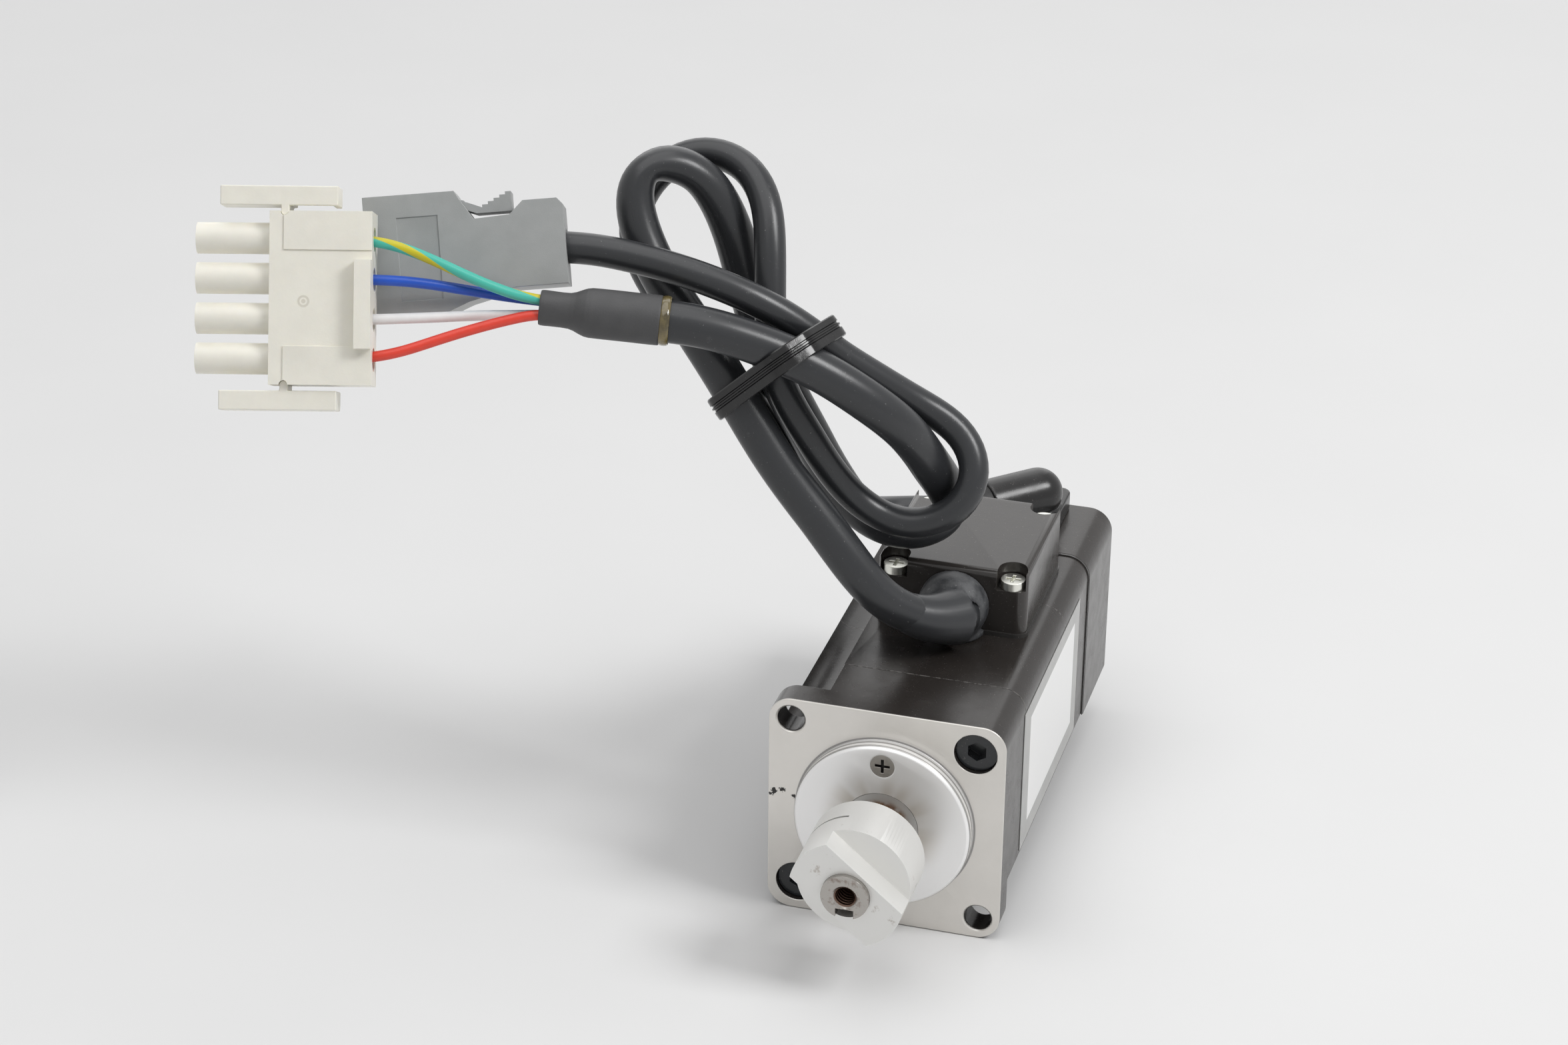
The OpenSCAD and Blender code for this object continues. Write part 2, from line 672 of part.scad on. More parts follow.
module coil_bobbins() color("ivory")
    tooth_ring(stator_y - bobbin_end, rear_y + bobbin_end, bobbin_w, bobbin_in_r, bobbin_out_r,
        stator_y - seat_gap, rear_y + seat_gap, tooth_w + 2 * seat_gap);
module coils() color("#b06a35")
    tooth_ring(stator_y - bobbin_end - coil_t, winding_end, coil_w, coil_in_r, coil_out_r,
        stator_y - bobbin_end - seat_gap, rear_y + bobbin_end + seat_gap, bobbin_w + 2 * seat_gap);
module winding_board() color("darkgreen")
    ring(winding_board_y, winding_board_y + winding_board_t, winding_board_r, winding_board_in_r);
module motor_leads() color("firebrick") for (i = [-1 : 1])
    upright(cap_x + i * lead_pitch, lead_y, lead_low_z, lead_top_z, lead_r);

module tie_screws() color("#1a1a1b") at_tie_screws() difference() {
    union() {
        rod(flange_t - tie_head_h, flange_t, tie_head_r);
        rod(flange_t - over, tie_end, tie_shank_r);
    }
    translate([0, flange_t - tie_head_h - over, 0]) rotate([-90, 30, 0])
        cylinder(h = tie_socket_h + over, r = tie_socket_af / sqrt(3), $fn = 6);
}

module rear_bracket() color("#2c2927") difference() {
    union() {
        difference() {
            along(rear_y, gasket_y) section(0);
            rod(web_end, gasket_y + over, encoder_r);
        }
        intersection() {
            for (s = [-1, 1]) at_xz(s * post_xz, s * post_xz) rod(web_end - over, board_y, post_r);
            rod(web_end - over, board_y, encoder_r + over);
        }
    }
    rod(rear_y - over, rear_cavity_end, cavity_r);
    rod(rear_cavity_end - over, washer_end, rear_brg_r + seat_gap);
    rod(washer_end - over, web_end + over, web_hole_r);
    at_tie_screws() rod(rear_y - over, tie_end + over, tie_shank_r + seat_gap);
    for (s = [-1, 1]) at_xz(s * post_xz, s * post_xz)
        rod(board_y - 2 * small_head_h, board_y + over, small_shank_r + seat_gap);
    for (s = [-1, 1]) at_xz(s * cover_screw_x, 0)
        rod(cover_screw_end - over, gasket_y + over, small_shank_r + seat_gap);
    for (x = cap_screw_x)
        upright(x, cap_screw_y[1], top_z - cap_thread, top_z + over, cap_shank_r + seat_gap);
    slab([cap_x - lead_slot_w / 2, lead_y - 2 * lead_r, lead_low_z],
        [cap_x + lead_slot_w / 2, lead_y + 2 * lead_r, top_z + over]);
}
module wave_washer() color("silver")
    ring(rear_brg_end + seat_gap, rear_brg_end + washer_t, rear_brg_r - close_gap,
        rear_brg_r - washer_w);

module encoder_board() color("darkgreen") difference() {
    along(board_y, board_y + board_t) section(board_inset);
    for (s = [-1, 1]) at_xz(s * cover_screw_x, 0)
        rod(board_y - over, board_y + board_t + over, cover_boss_r + close_gap);
    for (s = [-1, 1]) at_xz(s * post_xz, s * post_xz)
        rod(board_y - over, board_y + board_t + over, small_shank_r + run_gap);
}
module encoder_sensor() color("#202224")
    slab([-sensor_w / 2, disc_y + disc_t + sensor_gap, sensor_z],
        [sensor_w / 2, board_y, sensor_z + sensor_h]);
module board_screws() color("silver") for (s = [-1, 1]) at_xz(s * post_xz, s * post_xz)
    difference() {
        union() {
            rod(board_y + board_t, board_y + board_t + small_head_h, small_head_r);
            rod(board_y - 2 * small_head_h, board_y + board_t + over, small_shank_r);
        }
        cross_recess(board_y + board_t + small_head_h - recess_h,
            board_y + board_t + small_head_h + over, small_head_r);
    }
module below_base() slab([-flange_w, gasket_y - over, -flange_w],
    [flange_w, motor_end + over, -flange_w / 2]);
module cover_gasket() color("#151515") difference() {
    along(gasket_y, cover_y) difference() {
        section(-gasket_lip);
        section(gasket_rim);
    }
    for (s = [-1, 1]) at_xz(s * cover_screw_x, 0)
        rod(gasket_y - over, cover_y + over, small_shank_r + run_gap);
    below_base();
}
module rear_cover() color("#2b2826") difference() {
    union() {
        difference() {
            along(cover_y, motor_end) section(-cover_proud);
            along(cover_y - over, motor_end - cover_wall)
                section_with(cover_wall, cover_corner_r);
        }
        for (s = [-1, 1]) at_xz(s * cover_screw_x, 0) rod(cover_y, motor_end - over, cover_boss_r);
    }
    for (s = [-1, 1]) at_xz(s * cover_screw_x, 0)
        rod(cover_y - over, motor_end + over, small_shank_r + run_gap);
    below_base();
    upright(outlet_x, outlet_y, top_z - 2 * cover_wall, top_z + outlet_base_h, signal_d / 2);
}
module cover_screws() color("silver") for (s = [-1, 1]) at_xz(s * cover_screw_x, 0)
    difference() {
        union() {
            rod(motor_end, motor_end + small_head_h, small_head_r);
            rod(cover_screw_end, motor_end + over, small_shank_r);
        }
        cross_recess(motor_end + small_head_h - recess_h, motor_end + small_head_h + over,
            small_head_r);
    }

// Terminal cap: crossed extrusions give it round edges on every side
module cap_plan(grow) translate([cap_x, cap_y + cap_len / 2])
    rounded(cap_w + 2 * grow, cap_len + 2 * grow, cap_plan_r + grow);
module cap_envelope() intersection() {
    translate([0, 0, cap_low]) linear_extrude(cap_h) cap_plan(0);
    along(cap_y - over, cap_end + over) translate([cap_x, cap_top - cap_h])
        rounded(cap_w, 2 * cap_h, cap_edge_r);
    translate([cap_left - over, 0, 0]) rotate([90, 0, 90]) linear_extrude(cap_w + 2 * over)
        translate([cap_y + cap_len / 2, cap_top - cap_h]) rounded(cap_len, 2 * cap_h, cap_edge_r);
}
module cap_screw_notch(x, y, out) {
    upright(x, y, cap_seat, cap_top + over, cap_pocket_r);
    slab([x - cap_pocket_r, min(y, y + out * 2 * cap_screw_edge), cap_seat],
        [x + cap_pocket_r, max(y, y + out * 2 * cap_screw_edge), cap_top + over]);
}
module power_cap() color("#262321") difference() {
    cap_envelope();
    difference() {
        slab([cap_left + cap_wall, cap_y + cap_wall, cap_low - over],
            [cap_right - cap_wall, cap_end - cap_wall, cap_top - cap_wall]);
        at_cap_screws() upright(0, 0, cap_low - 2 * over, cap_top, cap_column_r);
    }
    for (x = cap_screw_x) {
        cap_screw_notch(x, cap_screw_y[0], -1);
        cap_screw_notch(x, cap_screw_y[1], 1);
    }
    at_cap_screws() upright(0, 0, cap_low - over, cap_top, cap_shank_r + run_gap);
    at_xz(grommet_x, grommet_z) rod(cap_y - over, cap_y + cap_wall + over, spigot_r);
}
module cap_gasket() color("#1b1b1b") difference() {
    translate([0, 0, top_z]) linear_extrude(cap_gasket_t) cap_plan(gasket_lip);
    difference() {
        slab([cap_left + cap_wall, cap_y + cap_wall, top_z - over],
            [cap_right - cap_wall, cap_end - cap_wall, cap_low + over]);
        at_cap_screws() upright(0, 0, top_z - 2 * over, cap_low + 2 * over, cap_column_r);
    }
    at_cap_screws() upright(0, 0, top_z - over, cap_low + over, cap_shank_r + run_gap);
}
module cap_screws() color("#c9c7b8") at_cap_screws() difference() {
    union() {
        upright(0, 0, cap_seat, cap_seat + small_head_h, small_head_r);
        upright(0, 0, top_z - cap_thread, cap_seat + over, cap_shank_r);
    }
    for (a = [0, 90]) rotate(a) slab(
        [-small_head_r * recess_span_share / 2, -recess_w / 2, cap_seat + small_head_h - recess_h],
        [small_head_r * recess_span_share / 2, recess_w / 2, cap_seat + small_head_h + over]);
}
module terminal_block() color("#3b3d3a") slab([cap_x - block_w / 2, block_y, top_z],
    [cap_x + block_w / 2, block_y + block_len, top_z + block_h]);
module terminal_studs() color("goldenrod") for (i = [0 : 3])
    upright(cap_x + (i - 1.5) * stud_pitch, block_y + block_len / 2, top_z + block_h,
        top_z + block_h + stud_h, stud_r);
module at_cores() for (x = [-1, 1], z = [-1, 1])
    at_xz(grommet_x + x * core_spread, grommet_z + z * core_spread - 2 * core_spread) children();
module power_cores() color("tomato") at_cores() rod(cap_y + cap_wall, block_y, core_wire_r);
module power_grommet() color("#4b4d4f") difference() {
    union() {
        translate([grommet_x, cap_y, grommet_z]) rotate([90, 0, 0]) rotate_extrude() union() {
            square([grommet_r, grommet_len - grommet_round]);
            square([grommet_r - grommet_round, grommet_len]);
            translate([grommet_r - grommet_round, grommet_len - grommet_round])
                intersection() {
                    circle(grommet_round);
                    square(grommet_round);
                }
        }
        at_xz(grommet_x, grommet_z) rod(cap_y - over, cap_y + cap_wall, spigot_r - seat_gap);
        upright(grommet_x, cap_y, top_z, top_z + grommet_foot_h, grommet_foot_r);
    }
    slab([cap_left, cap_y - gasket_lip - seat_gap, top_z - over],
        [cap_right, cap_end, cap_low + seat_gap]);
    slab([cap_left, cap_y, top_z - over], [cap_right, cap_end, top_z + spigot_low]);
    slab([cap_left, cap_y - grommet_len, top_z - grommet_r], [cap_right, cap_end, top_z]);
    translate(power_route[0]) rotate(atan2(power_out[1], power_out[0]))
        rotate([0, acos(power_out[2] / norm(power_out)), 0])
            translate([0, 0, -seat_gap]) cylinder(h = 2 * grommet_r, r = grommet_bore_r);
}

module outlet_axis() translate([outlet_x, outlet_y, outlet_z]) rotate([0, 90, outlet_turn]) children();
module encoder_outlet() color("#232120") difference() {
    union() {
        translate([outlet_right - outlet_base_w / 2, motor_end - outlet_base_len / 2, outlet_low])
            linear_extrude(outlet_base_h) rounded(outlet_base_w, outlet_base_len, outlet_base_r);
        outlet_axis() rotate_extrude() union() {
            square([outlet_r, outlet_len]);
            intersection() {
                circle(outlet_r);
                translate([0, -outlet_r]) square([outlet_r, outlet_r + over]);
            }
        }
    }
    outlet_axis() translate([0, 0, outlet_len - outlet_bore_len])
        cylinder(h = outlet_bore_len + over, r = outlet_bore_r);
}
module encoder_grommet() color("#161616") outlet_axis() translate([0, 0, outlet_len])
    difference() {
        cylinder(h = sleeve_len, r = signal_d / 2 + sleeve_gap + sleeve_wall);
        translate([0, 0, -over]) cylinder(h = sleeve_len + 2 * over, r = signal_d / 2 + sleeve_gap);
    }
module type_label() color("whitesmoke") slab([flange_w / 2, label_y, label_low],
    [flange_w / 2 + label_t, label_y + label_len, label_high]);

module shaft() color("#b9b7b3") difference() {
    union() {
        rod(-shaft_len, front_brg_end, shaft_r);
        rod(front_brg_end, front_brg_end + collar_len, collar_r);
        rod(front_brg_end, rear_brg_y - rear_collar_len, rotor_seat_r);
        rod(rotor_end, rear_brg_y, rear_collar_r);
        rod(rear_brg_y - over, shaft_rear_end, rear_brg_id / 2);
    }
    rod(-shaft_len - over, shaft_tap_len - shaft_len, shaft_tap_d / 2);
    cone(-shaft_len, shaft_tap_chamfer - shaft_len, shaft_tap_d / 2 + shaft_tap_chamfer,
        shaft_tap_d / 2);
    slab([-keyway_w / 2, -shaft_len - over, -shaft_r - over],
        [keyway_w / 2, keyway_len - shaft_len, keyway_h - shaft_r]);
    rod(shaft_rear_end - encoder_screw_len, shaft_rear_end + over, small_shank_r + seat_gap);
}
module rotor_core() color("#6f6a66") ring(rotor_y, rotor_end, core_r, rotor_seat_r + seat_gap);
module rotor_magnets() color("#8f9194") difference() {
    ring(rotor_y, rotor_end, magnet_r, core_r + seat_gap);
    for (i = [0 : poles - 1]) rotate([0, i * 360 / poles, 0])
        slab([0, rotor_y - over, -magnet_slit / 2], [bore_r, rotor_end + over, magnet_slit / 2]);
}
module encoder_hub() color("goldenrod")
    ring(encoder_hub_y, disc_y, encoder_hub_r, rear_brg_id / 2 + seat_gap);
module encoder_disc() color("lightsteelblue")
    ring(disc_y, disc_y + disc_t, disc_r, rear_brg_id / 2 + seat_gap);
module encoder_screw() color("silver") {
    rod(disc_y + disc_t, disc_y + disc_t + encoder_screw_head_h, encoder_screw_head_r);
    rod(shaft_rear_end - encoder_screw_len + over, disc_y + disc_t + over, small_shank_r);
}

module hub_frame(a) rotate([0, -a, 0]) children();
module coupling_hub() color("#d9dadb") difference() {
    union() {
        rod(hub_front, -hub_y, hub_r);
        intersection() {
            rod(hub_front - tongue_h, hub_front + over, hub_r);
            hub_frame(tongue_turn) slab([-hub_r, hub_front - tongue_h, -tongue_w / 2],
                [hub_r, hub_front + over, tongue_w / 2]);
        }
    }
    rod(hub_front - tongue_h - over, over - hub_y, shaft_r + seat_gap);
    hub_frame(hub_slit_turn) slab([-hub_d, hub_slit_y - slit_w / 2, -hub_d],
        [hub_bridge_share * hub_r, hub_slit_y + slit_w / 2, hub_d]);
    hub_frame(hub_slit_turn_axial) {
        slab([0, hub_slit_y, -axial_slit_w / 2], [hub_d, over - hub_y, axial_slit_w / 2]);
        translate([clamp_x, clamp_y, 0]) {
            upright(0, 0, -hub_d, hub_d, clamp_shank_r + seat_gap);
            upright(0, 0, clamp_seat, hub_d, clamp_head_r + close_gap);
        }
    }
}
module hub_clamp_screw() color("#1a1a1b") hub_frame(hub_slit_turn_axial)
    translate([clamp_x, clamp_y, 0]) difference() {
        union() {
            upright(0, 0, clamp_seat, clamp_seat + clamp_head_h, clamp_head_r);
            upright(0, 0, clamp_seat - clamp_len, clamp_seat + over, clamp_shank_r);
        }
        translate([0, 0, clamp_seat + clamp_head_h / 2])
            cylinder(h = clamp_head_h, r = clamp_socket_af / sqrt(3), $fn = 6);
    }

module hanging(at, lean) translate(at) rotate([hang_tilt, 0, hang_turn]) rotate([0, lean, 0])
    children();
module power_cable() color("#2b2d2f") tube(power_route, power_d, cable_steps, cable_sides);
module encoder_cable() color("#2b2d2f") tube(signal_route, signal_d, cable_steps, cable_sides);
module tie_outline(grow) hull() for (s = tie_strands)
    translate([s[0], s[1]]) circle(s[2] / 2 + tie_slack + grow);
module cable_tie() color("#1c1c1d") hanging(tie_at, tie_lean)
    translate([0, 0, -tie_w / 2]) {
        linear_extrude(tie_w) difference() {
            tie_outline(tie_t);
            tie_outline(0);
        }
        translate([tie_head_x - tie_head[0] / 2, tie_head_y - seat_gap, (tie_w - tie_head[2]) / 2])
            cube(tie_head);
    }
module boot_frame() hanging(power_plug_at, 0) translate(boot_at) rotate([0, 90 + boot_lean, 0])
    children();
module cable_boot() color("#3a3a3a") boot_frame() difference() {
    union() {
        cylinder(h = boot_neck_len, r = boot_neck_r);
        translate([0, 0, boot_neck_len])
            cylinder(h = boot_flare_len, r1 = boot_neck_r, r2 = boot_r);
        translate([0, 0, boot_neck_len + boot_flare_len])
            cylinder(h = boot_len - boot_neck_len - boot_flare_len, r = boot_r);
    }
    translate([0, 0, -over]) cylinder(h = boot_recess_len + over, r = boot_recess_r);
    translate([0, 0, boot_len - boot_bore_len])
        cylinder(h = boot_bore_len + over, r = power_d / 2 + boot_gap);
}
module glue_ring() color("#8a7a3a") boot_frame() translate([0, 0, boot_len]) difference() {
    cylinder(h = glue_len, r = power_d / 2 + boot_gap + glue_wall);
    translate([0, 0, -over]) cylinder(h = glue_len + 2 * over, r = power_d / 2 + boot_gap);
}
module wire(route) hanging(power_plug_at, 0) tube(route, wire_d, wire_steps, wire_sides);
module wire_green() color("#3fbf9a") wire(green_route);
module wire_blue() color("#1d55c9") wire(blue_route);
module wire_white() color("#efeeee") wire(white_route);
module wire_red() color("#e03a30") wire(red_route);

// Power plug: the front face looks along -Y in its own frame
module at_contacts() for (i = [-1.5 : 1.5]) translate([0, 0, i * contact_pitch]) children();
module along_x(x0, x1, r) translate([x0, 0, 0]) rotate([0, 90, 0]) cylinder(h = x1 - x0, r = r);
module latch_foot(grow) for (s = [-1, 1]) translate([latch_web_x, 0, s * plug_h / 2])
    rotate([90, 0, 0]) cylinder(h = plug_t + 2 * over, r = latch_web_w / 2 + grow, center = true);
module power_plug_housing() color("#e8e4d8") hanging(power_plug_at, 0) difference() {
    union() {
        slab([-plug_w / 2, -plug_t / 2, -plug_h / 2], [plug_w / 2, plug_t / 2, plug_h / 2]);
        at_contacts() along_x(-plug_w / 2 - silo_len, -plug_w / 2 + over, silo_d / 2);
        for (s = [-1, 1]) slab([panel_left, -plug_t / 2 - panel_t, s > 0 ? plug_h / 2 - panel_h : -plug_h / 2],
            [plug_w / 2, plug_t / 2 + panel_t, s > 0 ? plug_h / 2 : panel_h - plug_h / 2]);
        slab([plug_w / 2 - lip_w, -plug_t / 2 - lip_t, lip_low], [plug_w / 2, 0, lip_low + lip_h]);
    }
    at_contacts() {
        along_x(-plug_w / 2 - silo_len - over, plug_w / 2 + over, silo_bore_r);
        along_x(-plug_w / 2 + 2 * over, plug_w / 2 + over, cavity_hole_r);
    }
    latch_foot(run_gap);
}
module plug_contacts() color("#c8a24a") hanging(power_plug_at, 0) at_contacts() {
    difference() {
        along_x(-plug_w / 2 - silo_len + contact_end_inset, latch_web_x, contact_r);
        along_x(-plug_w / 2 - silo_len, latch_web_x - over, contact_in_r);
    }
    along_x(latch_web_x - over, barrel_end, barrel_r);
}
module latch(s) hanging(power_plug_at, 0) difference() {
    union() {
        slab([latch_left, -latch_depth / 2, s > 0 ? plug_h / 2 + latch_low : -plug_h / 2 - latch_low - latch_t],
            [latch_right, latch_depth / 2, s > 0 ? plug_h / 2 + latch_low + latch_t : -plug_h / 2 - latch_low]);
        slab([latch_web_x - latch_web_w / 2, -latch_depth / 2, s > 0 ? plug_h / 2 : -plug_h / 2 - latch_low - over],
            [latch_web_x + latch_web_w / 2, latch_depth / 2, s > 0 ? plug_h / 2 + latch_low + over : -plug_h / 2]);
        translate([latch_web_x, 0, s * plug_h / 2]) rotate([90, 0, 0])
            cylinder(h = latch_depth, r = latch_web_w / 2, center = true);
    }
    translate([0, 0, s * (plug_h / 2 + latch_low)])
        slab([latch_web_x + latch_web_w, -latch_depth / 2 + latch_slot_h, s > 0 ? -over : -latch_slot_h],
            [latch_right - latch_hook, latch_depth / 2 + over, s > 0 ? latch_slot_h : over]);
}
module latch_upper() color("#e8e4d8") latch(1);
module latch_lower() color("#e8e4d8") latch(-1);

// Signal plug: two shells on a nose, with a sprung lever on top
function scaled(share, up) = [for (p = share)
    [signal_back + p[0] * signal_body_len, p[1] * (up ? signal_high : signal_low)]];
signal_outline = concat(scaled(signal_high_share, true), scaled(signal_low_share, false));
signal_left = signal_back - signal_body_len;
module signal_frame() hanging(signal_plug_at, signal_lean) children();
module lever_room() {
    slab([lever_neck_x, -lever_t / 2 - close_gap, lever_well_low],
        [lever_well_right, lever_t / 2 + close_gap, signal_high + over]);
    translate([lever_neck_x, 0, lever_neck_z]) rotate([90, 0, 0])
        cylinder(h = lever_t + 2 * close_gap, r = lever_neck_r + run_gap, center = true);
}
module signal_shell(y0, y1, wall_y0, wall_y1) difference() {
    along(y0, y1) polygon(signal_outline);
    slab([signal_left + signal_wall, wall_y0, -signal_low / 2],
        [signal_back - signal_bore_len, wall_y1, lever_well_low - signal_wall]);
    along_x(signal_back - signal_bore_len - over, signal_back + over, signal_bore_r);
    lever_room();
    slab([signal_slot_x, -signal_slot_h, signal_high - signal_slot_h],
        [signal_slot_x + signal_slot_w, signal_slot_h, signal_high + over]);
}
module signal_plug_front() color("#8b9091") signal_frame() difference() {
    signal_shell(-signal_t / 2, 0, signal_wall - signal_t / 2, over);
    translate([signal_panel_x, -signal_t / 2, signal_panel_z])
        cube([signal_panel[0], 2 * signal_panel[2], signal_panel[1]], center = true);
}
module signal_plug_back() color("#8b9091") signal_frame()
    signal_shell(0, signal_t / 2, -over, signal_t / 2 - signal_wall);
module signal_plug_nose() color("#303234") signal_frame() difference() {
    slab([signal_left - signal_nose_len, -signal_nose_t / 2, -signal_nose_h / 2],
        [signal_left, signal_nose_t / 2, signal_nose_h / 2]);
    slab([signal_left - signal_nose_len - over, -signal_nose_mouth_t / 2, -signal_nose_mouth_h / 2],
        [signal_left - signal_nose_len + signal_nose_mouth_len, signal_nose_mouth_t / 2,
            signal_nose_mouth_h / 2]);
}
module signal_contacts() color("#d0a94c") signal_frame() for (i = [-2 : 2])
    translate([signal_left - signal_nose_len + signal_nose_mouth_len - signal_pin[0],
        -signal_pin[1] / 2, i * signal_pin_pitch - signal_pin[2] / 2]) cube(signal_pin);
module plug_lever() color("#8f9495") signal_frame() {
    rib_w = (lever_right - lever_left) / (lever_ribs + 1);
    rib_h = (lever_high - lever_low) / (lever_ribs + 2);
    for (i = [0 : lever_ribs]) slab(
        [lever_left + i * rib_w, -lever_t / 2, lever_low],
        [lever_right, lever_t / 2, lever_low + (i + 2) * rib_h]);
    rotate([90, 0, 0]) linear_extrude(lever_t, center = true) polygon([
        [lever_neck_x, lever_neck_z - lever_neck_r], [lever_left, lever_low],
        [lever_left + rib_w, lever_low], [lever_left + rib_w, lever_low + 2 * rib_h],
        [lever_neck_x + lever_neck_r, lever_neck_z + lever_neck_r / 2]]);
    translate([lever_neck_x, 0, lever_neck_z]) rotate([90, 0, 0])
        cylinder(h = lever_t, r = lever_neck_r, center = true);
}

front_bracket();
shaft_seal();
front_bearing_outer();
bearing_retainer();
retainer_screws();
stator_core();
coil_bobbins();
coils();
winding_board();
motor_leads();
tie_screws();
rear_bracket();
rear_bearing_outer();
wave_washer();
encoder_board();
encoder_sensor();
board_screws();
cover_gasket();
rear_cover();
cover_screws();
cap_gasket();
power_cap();
cap_screws();
terminal_block();
terminal_studs();
power_cores();
power_grommet();
encoder_outlet();
encoder_grommet();
type_label();
shaft();
rotor_core();
rotor_magnets();
front_bearing_inner();
rear_bearing_inner();
encoder_hub();
encoder_disc();
encoder_screw();
coupling_hub();
hub_clamp_screw();
front_bearing_balls();
rear_bearing_balls();
power_cable();
encoder_cable();
cable_tie();
cable_boot();
glue_ring();
wire_green();
wire_blue();
wire_white();
wire_red();
power_plug_housing();
plug_contacts();
latch_upper();
latch_lower();
signal_plug_front();
signal_plug_back();
signal_plug_nose();
signal_contacts();
plug_lever();
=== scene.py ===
"""Looks of the ac servo motor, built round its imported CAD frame."""
import math

import bmesh
import bpy
import numpy as np
from mathutils import Matrix, Vector


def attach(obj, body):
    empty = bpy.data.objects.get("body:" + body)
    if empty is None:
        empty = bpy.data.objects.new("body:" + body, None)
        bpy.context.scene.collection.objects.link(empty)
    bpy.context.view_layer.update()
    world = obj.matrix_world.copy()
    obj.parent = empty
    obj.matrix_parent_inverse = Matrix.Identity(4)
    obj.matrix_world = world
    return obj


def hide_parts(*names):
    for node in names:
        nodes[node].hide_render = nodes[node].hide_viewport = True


MM = 0.001
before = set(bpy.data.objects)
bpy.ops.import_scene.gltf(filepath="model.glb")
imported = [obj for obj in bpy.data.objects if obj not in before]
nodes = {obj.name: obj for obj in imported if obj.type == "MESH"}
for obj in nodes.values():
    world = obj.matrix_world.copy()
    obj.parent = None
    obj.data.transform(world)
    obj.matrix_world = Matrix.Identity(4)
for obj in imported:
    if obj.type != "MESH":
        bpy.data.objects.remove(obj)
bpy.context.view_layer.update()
for node in nodes.values():
    node.data.materials.clear()

# Places and radii that finishes follow, in millimetres, as the part has them
HOLE_XZ = 16.26
HOLE_R = 2.25
WELL_XZ = 14.9
WELL_R = 3.6
PILOT_R = 15
RETAINER_Z = 11.5
TAP_R = 1.65
THREAD_PITCH = 0.7
SHAFT_END = -25
BRACKET_END = 14
STATOR_END = 44.3


# Camera
def stand_camera():
    """The camera at the photograph's place, looking down at the motor."""
    lens = bpy.data.cameras.new("camera")
    lens.lens = 84.576
    lens.sensor_width = 36
    lens.clip_start = 0.01
    lens.clip_end = 20
    camera = bpy.data.objects.new("camera", lens)
    right = (0.96008727, 0.27952099, 0.01002228)
    up = (-0.13548566, 0.43341537, 0.8909516)
    back = (0.24469586, -0.85674917, 0.45398767)
    place = (0.125967, -0.503359, 0.318903)
    camera.matrix_world = Matrix([[right[i], up[i], back[i], place[i]] for i in range(3)]
                                 + [[0, 0, 0, 1]])
    bpy.context.scene.collection.objects.link(camera)
    bpy.context.scene.camera = camera


stand_camera()


# Shader maths
class Value:
    """A shader socket that takes part in arithmetic by adding Math nodes."""

    def __init__(self, shader, socket):
        self.shader = shader
        self.socket = socket

    def maths(self, operation, *others):
        """This value and the others, put through one operation of a Math node."""
        inputs = dict(enumerate((self,) + others))
        return self.shader.add("ShaderNodeMath", {"operation": operation}, inputs)

    def __add__(self, other):
        return self.maths("ADD", other)

    def __sub__(self, other):
        return self.maths("SUBTRACT", other)

    def __rsub__(self, other):
        inputs = {0: other, 1: self}
        return self.shader.add("ShaderNodeMath", {"operation": "SUBTRACT"}, inputs)

    def __mul__(self, other):
        return self.maths("MULTIPLY", other)

    def __truediv__(self, other):
        return self.maths("DIVIDE", other)

    __radd__ = __add__
    __rmul__ = __mul__

    def between(self, low, high):
        """0 below low and 1 above high, with a smooth rise, or fall, from one to the other."""
        settings = {"interpolation_type": "SMOOTHSTEP"}
        inputs = {"Value": self, "From Min": low, "From Max": high}
        return self.shader.add("ShaderNodeMapRange", settings, inputs)

    def inside(self, low, high, soft):
        """1 from low to high and 0 outside them, with the edges softened that far each way."""
        return self.between(low - soft, low + soft) * self.between(high + soft, high - soft)


def apart(first, second):
    """How far a point is from a middle: the root of its two offsets' squares added up."""
    return (first * first + second * second).maths("SQRT")


class Shader:
    """A tree of nodes, of a material or of the room, to which nodes are added."""

    def __init__(self, tree):
        self.tree = tree

    def feed(self, socket, value):
        """Gives a socket a number, a colour or a Value."""
        if isinstance(value, Value):
            self.tree.links.new(value.socket, socket)
        elif socket.type == "RGBA":
            socket.default_value = (*value, 1)
        else:
            socket.default_value = value

    def add(self, kind, settings, inputs, output=0):
        """A node of that kind, with its settings made first and then its sockets fed."""
        made = self.tree.nodes.new(kind)
        for key, value in settings.items():
            setattr(made, key, value)
        for key, value in inputs.items():
            self.feed(made.inputs[key], value)
        return Value(self, made.outputs[output])

    def parted(self, point):
        """The values of a point, one for each axis."""
        split = self.add("ShaderNodeSeparateXYZ", {}, {0: point})
        return [Value(self, socket) for socket in split.socket.node.outputs]

    def joined(self, *values):
        """A point from up to three values."""
        return self.add("ShaderNodeCombineXYZ", {}, dict(enumerate(values)))

    def where_seen(self):
        """1 for what the camera sees, straight, mirrored or through a clear piece, else 0."""
        straight, mirrored, through = [
            self.add("ShaderNodeLightPath", {}, {}, "Is " + kind + " Ray")
            for kind in ("Camera", "Glossy", "Transmission")]
        return straight.maths("MAXIMUM", mirrored).maths("MAXIMUM", through)


